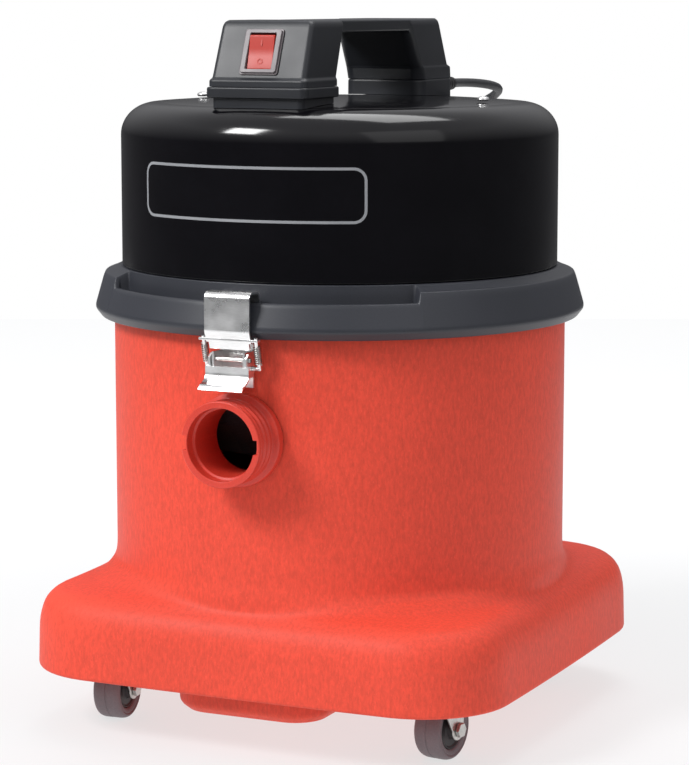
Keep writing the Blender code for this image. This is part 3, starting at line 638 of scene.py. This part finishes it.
foot = stack("c", soften([rrect(-52, 52, -160, -92, 22, 26), rrect(-57, 57, -166, -88, 26, 31), rrect(-59, 59, -168, -86, 26, 64)], [0, 3, 0], 5))
boolean(drum, foot, "UNION")
boolean(drum, stack("c", soften([rrect(-49, 49, -157, -95, 20, 30.5), rrect(-53, 53, -161.5, -93, 22, 35.5), rrect(-54, 54, -162.5, -92, 22, 70)], [0, 3, 0])))
boolean(drum, cyl("c", (0, INLET_Z), 26.6, -175, -150, "Y", 96))
put(drum, "tub", "drum_red", "drum")

# inlet collar: lathe axis turned to point to the front
ALONG = Matrix.Translation(Vector((0, 0, INLET_Z * MM))) @ Matrix.Rotation(math.radians(90), 4, "X")
R = INLET_BORE
collar = lathe("inlet_collar_threaded", profile([
    (R, 152.0), (26.0, 152.0), (26.0, 161.0), (33.0, 161.0), (33.0, 169.4), (28.6, 170.8), (28.2, 173.6), (29.8, 175.4), (28.2, 177.4), (28.2, 179.8),
    (29.8, 181.4), (28.2, 183.4), (28.2, 185.8), (29.8, 187.4), (28.9, 189.4), (29.8, 190.6), (29.8, 193.0), (R + 1.7, 193.0), (R + 1.7, 185.0), (R, 184.4)],
    [0.3, 0.3, 0.3, 0, 1.6, 1.2, 0.8, 0.7, 0.7, 0.7, 0.7, 0.7, 0.7, 0.7, 0.5, 0.6, 0.9, 0.6, 0.4, 0.5], 3, True), 128, M["inlet_red"], True, ALONG, 50)
for sx in (-1, 1):
    boolean(collar, box("c", (sx * 26.0 - 4.5, -Y_EXT - 5, INLET_Z - 5.0), (sx * 26.0 + 1.8 * sx + 1.8, -186.5, INLET_Z + 5.0)) if sx < 0 else
            box("c", (22.0, -Y_EXT - 5, INLET_Z - 5.0), (27.8, -186.5, INLET_Z + 5.0)), "DIFFERENCE", 50)
saddle = cyl("c", (0, 0), DRUM_R + 1.3, 150, 300, "Z", 288)
boolean(saddle, cyl("k", (0, INLET_Z), 26.3, -170, -140, "Y", 128))
boolean(collar, saddle, "DIFFERENCE", 50)
put(collar, "tub", "inlet_red", "inlet_collar")

# ---------------------------------------------------------------- castors
CASTORS = {"fl": (-CASTOR_X, -CASTOR_Y, 95.0), "fr": (CASTOR_X, -CASTOR_Y, 82.0),
           "rl": (-CASTOR_IN, CASTOR_IN, 150.0), "rr": (CASTOR_IN, CASTOR_IN, 175.0)}


def castor(tag, cx, cy, ang):
    at = Matrix.Translation(Vector((cx * MM, cy * MM, 0)))
    m = at @ Matrix.Rotation(math.radians(ang), 4, "Z")
    axle_m = m @ Matrix.Translation(Vector((TRAIL * MM, 0, WHEEL_R * MM))) @ Matrix.Rotation(math.radians(-90), 4, "X")
    top = CEIL_Z - GAP
    plate = bevel(stack("castor_mount_" + tag, [rrect(-21, 21, -21, 21, 4, top - 2.4, 5), rrect(-21, 21, -21, 21, 4, top, 5)], M["steel"]), 0.5, 2)
    race = lathe("c", profile([(0, 52.3), (10.0, 52.3), (14.5, 54.0), (15.5, 57.0), (15.5, 59.6), (0, 59.6)], [0, 0.6, 1.5, 1.2, 0.4, 0], 3), 40, M["steel"], False)
    parts = [plate]
    race.data.transform(at)
    parts.append(race)
    for sx in (-1, 1):
        for sy in (-1, 1):
            s = lathe("c", profile([(0, 57.2), (2.6, 57.3), (4.0, 58.4), (4.0, 59.6), (0, 59.6)], [0, 0.4, 0.6, 0, 0], 2), 24, M["steel"], False)
            s.data.transform(at @ Matrix.Translation(Vector((16.0 * sx * MM, 16.0 * sy * MM, 0))))
            parts.append(s)
    plate.data.transform(at)
    put(shade(joined("castor_mount_" + tag, *parts)), "tub", "steel", "castor_plate_" + tag)

    leg = [(-10, 52), (15, 52), (21, 42)]
    for k in range(15):
        a = math.radians(20 - 200.0 * k / 14)
        leg.append((TRAIL + 7.6 * math.cos(a), WHEEL_R + 7.6 * math.sin(a)))
    leg.append((-8, 44))
    fork = prism("castor_yoke_" + tag, leg, -13.8, 13.8, "Y", M["steel"])
    boolean(fork, box("c", (-40, -11.9, 0), (60, 11.9, 49.2)))
    boolean(fork, cyl("c", (TRAIL, WHEEL_R), 3.3, -30, 30, "Y", 24))
    bevel(fork, 0.7, 2, 30)
    fork.data.transform(m)
    put(fork, "castor_" + tag, "steel", "castor_fork_" + tag)

    ax = lathe("castor_bolt_" + tag, profile([(0, -17.0), (5.4, -17.0), (5.4, -14.1), (3.0, -14.1), (3.0, 14.1), (5.4, 14.1), (5.4, 16.6), (4.4, 17.5), (0, 17.8)],
                                             [0, 0.5, 0.2, 0, 0, 0.2, 0.4, 0.5, 0], 2), 6, M["steel"], False, axle_m, 20)
    bevel(ax, 0.25, 1)
    put(ax, NODES["castor_axle_" + tag]["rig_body"], "steel", "castor_axle_" + tag)
    hub = lathe("castor_wheel_hub_" + tag, profile([(3.3, -11.5), (6.5, -11.5), (7.4, -8.6), (8.6, -7.6), (12.4, -7.4), (13.2, -8.3), (14.2, -8.4), (14.2, 8.4),
                                                    (13.2, 8.3), (12.4, 7.4), (8.6, 7.6), (7.4, 8.6), (6.5, 11.5), (3.3, 11.5)], 0.5, 2, True), 64, M["hub_dark"], True, axle_m)
    put(hub, NODES["castor_hub_" + tag]["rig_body"], "hub_dark", "castor_hub_" + tag)
    w = WHEEL_W / 2
    tyre = lathe("castor_wheel_tyre_" + tag, profile([
        (14.5, -8.2), (15.4, -9.2), (17.6, -9.9), (18.0, -9.5), (18.5, -9.6), (19.5, -w), (21.1, -9.3), (22.0, -6.6), (22.0, -0.7), (21.55, -0.35), (21.55, 0.35), (22.0, 0.7),
        (22.0, 6.6), (21.1, 9.3), (19.5, w), (18.5, 9.6), (18.0, 9.5), (17.6, 9.9), (15.4, 9.2), (14.5, 8.2)],
        [0.3, 0.6, 0.4, 0.2, 0.3, 0.7, 1.2, 1.6, 0.2, 0.1, 0.1, 0.2, 1.6, 1.2, 0.7, 0.3, 0.2, 0.4, 0.6, 0.3], 3, True), 96, M["tyre_grey"], True, axle_m)
    put(tyre, NODES["castor_tyre_" + tag]["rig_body"], "tyre_grey", "castor_tyre_" + tag)


for tag, (cx, cy, ang) in CASTORS.items():
    castor(tag, cx, cy, ang)

# ---------------------------------------------------------------- latches
P_YZ, Q_YZ, HOOK_W = (-177.0, 279.5), (-172.5, 273.5), 17.0


def latch(side):
    m = Matrix.Identity(4) if side == "front" else Matrix.Rotation(math.pi, 4, "Z")
    u = [(-12.5, -165.5), (12.5, -165.5), (12.5, -180.0), (11.0, -180.0), (11.0, -167.3), (-11.0, -167.3), (-11.0, -180.0), (-12.5, -180.0)]
    ob = prism("latch_pivot_bracket_" + side, u, 270.0, 284.6, "Z", M["plated_steel"])
    boolean(ob, box("c", (-12.49, -167.29, 259.5), (12.49, -165.51, 291.5)), "UNION")
    boolean(ob, cyl("c", P_YZ, 1.9, -30, 30, "X", 24))
    bevel(ob, 0.35, 2)
    ob.data.transform(m)
    put(ob, "tub", "plated_steel", "latch_bracket_" + side)

    path = [(-181.4, 275.0), (-181.2, 269.0), (-182.6, 266.0), (-187.0, 263.6), (-190.2, 262.6), (-192.25, 259.6)]
    out = strip(path, 1.5, 1.6, 4)
    low = min(p[0] for p in out)
    out = [(p[0] + (-Y_EXT - low), p[1]) if p[0] < -190.0 else p for p in out]
    ob = prism("latch_thumb_lever_" + side, out, -16.5, 16.5, "X", M["plated_steel"])
    cheek = [(-181.4, 267.5), (-170.5, 267.5), (-169.3, 270.0), (-169.3, 276.5), (-173.5, 283.0), (-178.0, 283.8), (-181.4, 281.0)]
    boolean(ob, prism("c", cheek, 13.0, 14.5, "X"), "UNION")
    boolean(ob, prism("c", cheek, -14.5, -13.0, "X"), "UNION")
    boolean(ob, cyl("c", P_YZ, 1.9, -30, 30, "X", 24))
    boolean(ob, cyl("c", Q_YZ, 1.9, -30, 30, "X", 24))
    bevel(ob, 0.3, 2)
    ob.data.transform(m)
    put(ob, NODES["latch_lever_" + side]["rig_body"], "plated_steel", "latch_lever_" + side)

    path = [(-165.6, 316.8), (-165.9, 321.6), (-168.6, 324.6), (-178.4, 325.0), (-181.2, 322.6), (-181.4, 298.0), (-178.9, 292.6), (-176.9, 286.6)]
    hook = prism("latch_hook_plate_" + side, strip(path, 1.5, 1.8, 5), -HOOK_W, HOOK_W, "X", M["plated_steel"])
    for sx in (-1, 1):                      # waist: the plate narrows below its crease
        boolean(hook, box("c", *sorted_box((sx * 15.2, -182.6, 284.0), (sx * 18.0, -175.0, 291.0))))
    bevel(hook, 0.35, 2, 40)
    tab = bevel(box("t", (-22.4, -180.4, 292.2), (22.4, -175.8, 294.0), M["plated_steel"]), 0.4, 2)
    q = Vector((0, Q_YZ[0], Q_YZ[1]))
    top = Vector((0, -178.2, 295.2))
    axis = (top - q).normalized()
    tilt = math.atan2(-axis.y, axis.z)
    parts = [hook, tab]
    for s in (-1, 1):
        rod = Matrix.Translation(Vector((s * 19.8 * MM, q.y * MM, q.z * MM))) @ Matrix.Rotation(tilt, 4, "X")
        length = (top - q).length
        parts.append(lathe("r", profile([(0, -1.2), (1.3, -1.2), (1.3, length), (0, length)], [0, 0.35, 0.35, 0], 2), 20, M["plated_steel"], False, rod))
        lo, hi = sorted((s * 12.7, s * 20.6))
        parts.append(bevel(cyl("s", Q_YZ, 1.55, lo, hi, "X", 20, M["plated_steel"]), 0.25, 1))
    ob = shade(joined("latch_hook_plate_" + side, *parts), 40)
    ob.data.transform(m)
    put(ob, NODES["latch_hook_" + side]["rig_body"], "plated_steel", "latch_hook_" + side)
    for s, hand in ((-1, "left"), (1, "right")):
        rod = Matrix.Translation(Vector((s * 19.8 * MM, q.y * MM, q.z * MM))) @ Matrix.Rotation(tilt, 4, "X")
        pts = []
        coils, r = 9.5, 2.12
        for k in range(int(coils * 20) + 1):
            a = 2 * math.pi * k / 20
            pts.append(Vector((r * math.cos(a), r * math.sin(a), 3.05 + 13.5 * k / (coils * 20))))
        spring = tube("latch_coil_spring_%s_%s" % (side, hand), pts, 0.42, M["steel"], 8)
        spring.data.transform(m @ rod)
        put(spring, NODES["latch_spring_%s_%s" % (side, hand)]["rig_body"], "steel", "latch_spring_%s_%s" % (side, hand))
    pin = bevel(cyl("latch_pivot_pin_" + side, P_YZ, 1.6, -15.8, 15.8, "X", 24, M["steel"]), 0.3, 2)
    pin.data.transform(m)
    put(pin, NODES["latch_pin_" + side]["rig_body"], "steel", "latch_pin_" + side)


def sorted_box(a, b):
    return tuple(min(x, y) for x, y in zip(a, b)), tuple(max(x, y) for x, y in zip(a, b))


latch("front")
latch("rear")


# ---------------------------------------------------------------- head
def head_ring():
    half = math.radians(43.0)
    low = [(174.2, 293.5), (BAND_R, 299.0), (BAND_R, 301.5), (173.4, 316.6), (171.8, 318.2), (169.3, 317.6), (168.6, 313.4),
           (162.2, 313.4), (160.8, 329.6), (155.5, 329.6), (154.5, 312.0), (44.0, 312.0), (44.0, HEAD_PLATE_Z), (168.0, HEAD_PLATE_Z), (171.4, 293.5)]
    up = [(174.2, 293.5), (BAND_R, 299.0), (BAND_R, 301.5), (172.6, 322.0), (171.2, 325.2), (169.4, 325.6), (167.0, 326.6),
          (163.0, 328.4), (160.8, 329.6), (155.5, 329.6), (154.5, 312.0), (44.0, 312.0), (44.0, HEAD_PLATE_Z), (168.0, HEAD_PLATE_Z), (171.4, 293.5)]
    rad = [1.0, 1.0, 1.2, 2.0, 0.9, 0.6, 0.8, 0.8, 0.6, 0.6, 0.5, 0.3, 0.3, 0.5, 0.8]
    low = profile(low, rad, 3, True)
    up = profile(up, rad, 3, True)
    table = []
    for c in (-math.pi / 2, math.pi / 2):
        for e, inside in ((c - half, 1), (c + half, -1)):
            for k in range(5):               # a short ramp with rounded ends at each step
                t = k / 4
                table.append((e + math.radians(-0.45 + 0.9 * t), (1 - ease(t)) if inside == 1 else ease(t)))
    for i in range(192):
        a = 2 * math.pi * i / 192 - math.pi
        d = min(abs((a - c + math.pi) % (2 * math.pi) - math.pi) for c in (-math.pi / 2, math.pi / 2))
        if abs(d - half) > math.radians(0.8):
            table.append((a, 0.0 if d < half else 1.0))
    table.sort()
    k = len(up)
    verts, faces = [], []
    for a, w in table:
        for (r0, z0), (r1, z1) in zip(low, up):
            r, z = r0 + (r1 - r0) * w, z0 + (z1 - z0) * w
            verts.append((r * math.cos(a), r * math.sin(a), z))
    m = len(table)
    for i in range(m):
        j = (i + 1) % m
        for p in range(k):
            q = (p + 1) % k
            faces.append((i * k + p, i * k + q, j * k + q, j * k + p))
    return new_obj("head_ring_band", verts, faces, M["charcoal"])


put(head_ring(), "head", "charcoal", "head_base")


def cover_profile(d, z0, n=14):
    pts = [(COVER_R + d, z0), (COVER_R + d, COVER_Z1)]
    cx = COVER_R - SH
    for k in range(1, n + 1):
        a = math.radians(78.0 * k / n)
        pts.append((cx + (SH + d) * math.cos(a), COVER_Z1 + (SH + d) * math.sin(a) * 0.92))
    pts += [(112.0, 448.3 + d), (60.0, 450.0 + d), (0.0, COVER_CROWN + d)]
    return pts


outer = cover_profile(0.0, COVER_Z0)
i = [k for k, p in enumerate(outer) if p[0] == 112.0][0]
outer = outer[:i] + [(131.0, 447.05), (130.2, 446.55), (129.4, 447.15), (121.0, 447.75), (112.0, 448.3), (86.0, 449.2), (60.0, 450.0), (0.0, COVER_CROWN)]
inner = [(max(r - (1.4 if z < COVER_Z1 + 8 else 0.9) * (1 if r > 1 else 0), 0.0), z if z <= COVER_Z1 else z - 1.4) for r, z in cover_profile(0.0, COVER_Z0)]
prof = [(COVER_R - 0.9, COVER_Z0), (COVER_R, COVER_Z0 + 0.8)] + outer[1:] + inner[::-1]
cover = lathe("motor_cover_steel", prof, 224, M["gloss_black"], True, None, 50)
for y0, y1 in ((-118.0, -98.0), (98.0, 118.0)):
    boolean(cover, box("c", (-12, y0, 430), (12, y1, 470)), "DIFFERENCE", 50)
put(cover, "head", "gloss_black", "motor_cover")

for hand, ang in (("left", 180.0), ("right", 0.0)):
    a = math.radians(ang)
    at = Matrix.Translation(Vector((112.0 * math.cos(a) * MM, 112.0 * math.sin(a) * MM, 0)))
    s = lathe("cover_dome_screw_" + hand, profile([(0, 449.2), (3.6, 449.2), (4.6, 450.0), (4.2, 451.6), (2.4, 452.4), (0, 452.6)], [0, 0.3, 0.4, 0.6, 0.6, 0], 3),
              40, M["plated_steel"], False, at)
    for k in (0, 1):
        boolean(s, box("c", (-1.9, -0.35, 451.6), (1.9, 0.35, 454), None, at @ Matrix.Rotation(math.radians(35 + 90 * k), 4, "Z")))
    put(s, "head", "plated_steel", "cover_screw_" + hand)

# blank outlined badge on the cover's front
a0, a1, z0, z1 = math.radians(-90 - 33), math.radians(-90 + 31.5), 371.0, 409.0


def badge(name, r, lo, hi, zlo, zhi, corner, mat):
    arc = (hi - lo) * r
    out, n = [], 10
    for cx, cz, s in ((arc - corner, zhi - corner, 0), (corner, zhi - corner, 90), (corner, zlo + corner, 180), (arc - corner, zlo + corner, 270)):
        for k in range(n + 1):
            a = math.radians(s + 90.0 * k / n)
            out.append((cx + corner * math.cos(a), cz + corner * math.sin(a)))
    return out


def outline_strip(name, r, lo, hi, zlo, zhi, corner, width, mat):
    outer = badge(name, r, lo, hi, zlo, zhi, corner, mat)
    inn = [(x, z) for x, z in badge(name, r, lo + width / r, hi - width / r, zlo + width, zhi - width, corner - width, mat)]
    inn = [(x + width, z) for x, z in inn]

    def fill(a):
        res = []
        for i in range(len(a)):
            p, q = a[i], a[(i + 1) % len(a)]
            m = max(1, round(math.hypot(q[0] - p[0], q[1] - p[1]) / 2.5))
            res += [(p[0] + (q[0] - p[0]) * k / m, p[1] + (q[1] - p[1]) * k / m) for k in range(m)]
        return res
    # same count on both outlines: read each at equal fractions
    def at_fraction(a, n):
        a = fill(a)
        run = [0.0]
        for i in range(len(a)):
            p, q = a[i], a[(i + 1) % len(a)]
            run.append(run[-1] + math.hypot(q[0] - p[0], q[1] - p[1]))
        res, i = [], 0
        for k in range(n):
            want = run[-1] * k / n
            while run[i + 1] < want:
                i += 1
            p, q = a[i], a[(i + 1) % len(a)]
            t = (want - run[i]) / max(run[i + 1] - run[i], 1e-9)
            res.append((p[0] + (q[0] - p[0]) * t, p[1] + (q[1] - p[1]) * t))
        return res
    n = 220
    verts = []
    for pts, rr in ((at_fraction(outer, n), r + 0.02), (at_fraction(outer, n), r + 0.16), (at_fraction(inn, n), r + 0.16), (at_fraction(inn, n), r + 0.02)):
        for x, z in pts:
            a = lo + x / r
            verts.append((rr * math.cos(a), rr * math.sin(a), z))
    faces = []
    for k in range(4):
        q = (k + 1) % 4
        for i in range(n):
            j = (i + 1) % n
            faces.append((k * n + i, k * n + j, q * n + j, q * n + i))
    return new_obj(name, verts, faces, mat)


put(outline_strip("cover_blank_badge_outline", COVER_R, a0, a1, z0, z1, 9.0, 1.9, SILVER_INK), "head", "gloss_black")


def housing(name, rings, rad, hollow, mat):
    ob = stack(name, soften(rings, rad, 4), mat)
    boolean(ob, stack("c", [rrect(*hollow, 6, 430), rrect(*hollow, 6, 480)]))
    boolean(ob, lathe("c", cover_profile(GAP, 420.0) + [(0.0, 420.0)], 224, None, False))
    return ob


front = housing("handle_plinth_front", [rrect(-34.8, 34.8, -135.5, -82.0, 4.5, 430), rrect(-34.8, 34.8, -135.5, -82.0, 4.5, 453.4),
                                        rrect(-38.8, 38.8, -138.2, -81.4, 5.5, 454.0), rrect(-38.8, 38.8, -138.2, -81.4, 5.5, 460.4),
                                        rrect(-38.2, 38.2, -137.6, -81.8, 5.5, 461.0)], [0, 0.4, 0.8, 0.9, 0], (-29, 29, -130, -88), M["satin_black"])
put(front, "head", "satin_black", "handle_base_front")
rear = housing("handle_plinth_rear", [rrect(-32, 32, 77.0, 140.0, 9, 430), rrect(-32, 32, 77.4, 140.0, 9, 460.0), rrect(-31.4, 31.4, 78.0, 139.4, 9, 461.0)], [0, 1.0, 0],
               (-27, 27, 84, 134), M["satin_black"])
boolean(rear, cyl("c", (EX, EZ), 4.6, 128, 150, "Y", 32))
put(rear, "head", "satin_black", "handle_base_rear")

z0 = 461.3
handle = stack("carry_handle", soften([rrect(-37.6, 37.6, -136.0, -82.4, 4.5, z0), rrect(-37.6, 37.6, -136.0, -82.4, 4.5, 465.6),
                                       rrect(-36.2, 36.2, -133.4, -81.8, 4, 467.4), rrect(-35.2, 35.2, -119.2, -67.5, 3.8, 502.4),
                                       rrect(-34.2, 34.2, -117.4, -67.0, 3.4, 505.2), rrect(-32.0, 32.0, -115.0, -68.5, 3, HANDLE_TOP)],
                                      [0, 1.0, 0.9, 1.6, 1.6, 0], 4), M["satin_black"])
bridge = prism("c", profile([(-74, 497.5), (58, 497.5), (63, 494.0), (63, 506.3), (-74, 506.3)], [0, 0, 0, 0, 0]), -29.6, 29.6, "X")
bevel(bridge, 1.6, 3)
boolean(handle, bridge, "UNION")
rear = stack("c", soften([rrect(-31.8, 31.8, 77.0, 140.6, 9, z0), rrect(-31.8, 31.8, 74.0, 139.6, 9, 469.6),
                          rrect(-31.2, 31.2, 72.6, 134.0, 8, 471.4), rrect(-30.4, 30.4, 54.5, 119.6, 8, 502.2),
                          rrect(-29.6, 29.6, 53.5, 118.0, 7, 505.0), rrect(-28.0, 28.0, 55.5, 115.6, 6, HANDLE_TOP)], [0, 1.0, 1.0, 1.6, 1.6, 0], 4))
boolean(handle, rear, "UNION")
boolean(handle, stack("c", [rrect(-32.4, 32.4, -132, -87, 4, 455), rrect(-31.8, 31.8, -129.6, -86, 4, 467.4), rrect(-30.6, 30.6, -115.6, -71.5, 4, 502.6)]))
boolean(handle, stack("c", [rrect(-28, 28, 81, 136.6, 6, 455), rrect(-27.6, 27.6, 77, 131, 6, 471), rrect(-27, 27, 59, 115, 6, 502.4)]))
LEAN = math.atan2(14.2, 35.0)
SW = Matrix.Translation(Vector((0.0, -126.42, 484.9)) * MM) @ Matrix.Rotation(math.radians(90) - LEAN, 4, "X")
boolean(handle, box("c", (-11.6, -14.0, -20), (11.6, 14.0, 10), None, SW))
put(handle, "head", "satin_black", "handle")


# ---------------------------------------------------------------- switch
def frame_ring(name, hx, hy, ix, iy, z0, z1, ro, ri, mat, matrix):
    n = 4
    o = [p[:2] for p in rrect(-hx, hx, -hy, hy, ro, 0, n)]
    i_ = [p[:2] for p in rrect(-ix, ix, -iy, iy, ri, 0, n)]
    rows = [[(x, y, z0) for x, y in o], [(x, y, z1) for x, y in o], [(x, y, z1) for x, y in i_], [(x, y, z0) for x, y in i_]]
    rows = soften(rows, 0.45, 3, True)
    k = len(rows[0])
    verts = [tuple(p) for r in rows for p in r]
    faces = []
    for a in range(len(rows)):
        b = (a + 1) % len(rows)
        for s in range(k):
            t = (s + 1) % k
            faces.append((a * k + s, a * k + t, b * k + t, b * k + s))
    return new_obj(name, verts, faces, mat, matrix)


bz = frame_ring("switch_bezel_frame", 13.6, 15.6, 9.9, 13.1, 0.35, 2.6, 1.6, 0.7, M["bezel_grey"], SW)
# a near-black ring round the bezel on the housing: painted shade in the gap between bezel and housing
gap_shade = frame_ring("switch_gap_shade_ring", 14.6, 16.6, 13.2, 15.2, 0.25, 1.05, 1.9, 1.5, PAINTED_GAP_SHADE, SW)
nk = frame_ring("c", 11.2, 13.6, 9.9, 13.1, -9.0, 0.6, 0.8, 0.7, M["bezel_grey"], SW)
bz = shade(joined("switch_bezel_frame", bz, nk, gap_shade))
put(bz, "head", "bezel_grey", "switch_bezel")
ROCK = SW @ Matrix.Translation(Vector((0, 0, -4.0 * MM))) @ Matrix.Rotation(math.radians(8.0), 4, "X")
prof = [(-11.6, 6.2), (-7.4, 6.0), (-2.6, 5.7), (0, 5.6), (2.6, 5.7), (7.4, 6.0), (11.6, 6.2), (12.2, 5.4), (11.2, 1.0), (5.0, -3.2), (-5.0, -3.2), (-11.2, 1.0), (-12.2, 5.4)]
rk = bevel(prism("switch_rocker_cap", prof, -9.5, 9.5, "X", M["rocker_red"], ROCK), 0.45, 3, 50)
bar = bevel(box("bar", (-0.6, 4.4, 5.7), (0.6, 8.8, 6.22), WHITE_INK, ROCK), 0.04, 1)
ring = lathe("ring", [(1.25, 5.7), (2.15, 5.7), (2.15, 6.16), (1.25, 6.16)], 40, WHITE_INK, True, ROCK @ Matrix.Translation(Vector((0, -6.4 * MM, 0))))
rk = shade(joined("switch_rocker_cap", rk, bar, ring))
put(rk, "rocker", "rocker_red", "switch_rocker")

# ---------------------------------------------------------------- carried-over nodes
FINISH = {
    "inlet_gasket": "rubber", "inlet_nut": "charcoal", "drum_seal": "rubber", "filter_ring": "charcoal",
    "filter_cloth": "filter_cloth", "motor_gasket": "rubber", "fan_casing": "steel", "motor_casing": "charcoal",
    "impeller": "steel", "armature": "copper", "bearing_lower": "steel", "bearing_upper": "steel", "switch_body": "charcoal",
}
for name, ob in NODES.items():
    mat = M[FINISH.get(name, "charcoal")]
    for s in ob.material_slots:
        s.material = mat


# ---------------------------------------------------------------- floor, backdrop and light
# The floor glows (painted light) and glows less near the object's centre: painted shade around the object.
def glowing_floor_material():
    m = bpy.data.materials.new("studio_floor")
    m.use_nodes = True
    N, L = m.node_tree.nodes, m.node_tree.links
    b = N["Principled BSDF"]
    b.inputs["Base Color"].default_value = (0.22, 0.225, 0.23, 1)
    b.inputs["Roughness"].default_value = 0.75
    b.inputs["Specular IOR Level"].default_value = 0.15
    b.inputs["Emission Color"].default_value = (1, 1, 1, 1)
    tc = N.new("ShaderNodeTexCoord")
    ln = N.new("ShaderNodeVectorMath")
    ln.operation = "LENGTH"
    L.new(tc.outputs["Object"], ln.inputs[0])
    # painted shade: emission strength rises from 0.68 near the object to 0.80 farther out
    mr = N.new("ShaderNodeMapRange")
    mr.interpolation_type = "SMOOTHSTEP"
    mr.inputs["From Min"].default_value = 0.30
    mr.inputs["From Max"].default_value = 0.95
    mr.inputs["To Min"].default_value = 0.68
    mr.inputs["To Max"].default_value = 0.80
    L.new(ln.outputs["Value"], mr.inputs["Value"])
    L.new(mr.outputs["Result"], b.inputs["Emission Strength"])
    return m


ca, sa = math.cos(A), math.sin(A)
fwd, side = Vector((-sa, ca, 0)), Vector((ca, sa, 0))
verts, faces, cols, rws = [], [], 12, 12
for i in range(rws + 1):
    for j in range(cols + 1):
        p = fwd * (-1.0 + 3.4 * i / rws) + side * (-1.7 + 3.4 * j / cols)
        verts.append((p.x / MM, p.y / MM, -0.02))
for i in range(rws):
    for j in range(cols):
        k = i * (cols + 1) + j
        faces.append((k, k + 1, k + cols + 2, k + cols + 1))
floor = new_obj("studio_floor", verts, faces, glowing_floor_material())


def area(name, at, aim, sx, sy, power, colour=(1, 1, 1)):
    d = bpy.data.lights.new(name, "AREA")
    d.shape = "RECTANGLE"
    d.size, d.size_y = sx, sy
    d.energy = power
    d.color = colour
    o = bpy.data.objects.new(name, d)
    o.location = at
    o.rotation_euler = (Vector(aim) - Vector(at)).to_track_quat("-Z", "Y").to_euler()
    COLL.objects.link(o)
    return o


area("key", (-1.08, -1.78, 1.98), (0, 0, 0.25), 0.75, 0.75, 50)
area("fill", (2.1, -1.2, 1.5), (0, 0, 0.3), 1.8, 1.8, 5)
area("top", (0.1, 0.45, 2.3), (0, 0, 0.3), 1.4, 0.9, 20)

world = bpy.data.worlds.new("studio")
SCENE.world = world
world.use_nodes = True
N, L = world.node_tree.nodes, world.node_tree.links
bg = N["Background"]
tc = N.new("ShaderNodeTexCoord")
sep = N.new("ShaderNodeSeparateXYZ")
L.new(tc.outputs["Generated"], sep.inputs[0])
ramp = N.new("ShaderNodeValToRGB")
ramp.color_ramp.elements[0].position = 0.50
ramp.color_ramp.elements[0].color = (0.10, 0.10, 0.105, 1)
ramp.color_ramp.elements[1].position = 0.80
ramp.color_ramp.elements[1].color = (0.80, 0.80, 0.82, 1)
mr = N.new("ShaderNodeMapRange")
mr.inputs["From Min"].default_value = -1.0
L.new(sep.outputs["Z"], mr.inputs["Value"])
L.new(mr.outputs["Result"], ramp.inputs["Fac"])
L.new(ramp.outputs["Color"], bg.inputs["Color"])
bg.inputs["Strength"].default_value = 0.75
plain = N.new("ShaderNodeBackground")
plain.inputs["Color"].default_value = (1.0, 1.0, 1.0, 1)
path_in = N.new("ShaderNodeLightPath")
both = N.new("ShaderNodeMixShader")
L.new(path_in.outputs["Is Camera Ray"], both.inputs["Fac"])
L.new(bg.outputs["Background"], both.inputs[1])
L.new(plain.outputs["Background"], both.inputs[2])
L.new(both.outputs["Shader"], N["World Output"].inputs["Surface"])
SCENE.view_settings.view_transform = "Standard"
SCENE.view_settings.look = "None"
SCENE.view_settings.exposure = 0.0

bpy.context.view_layer.update()
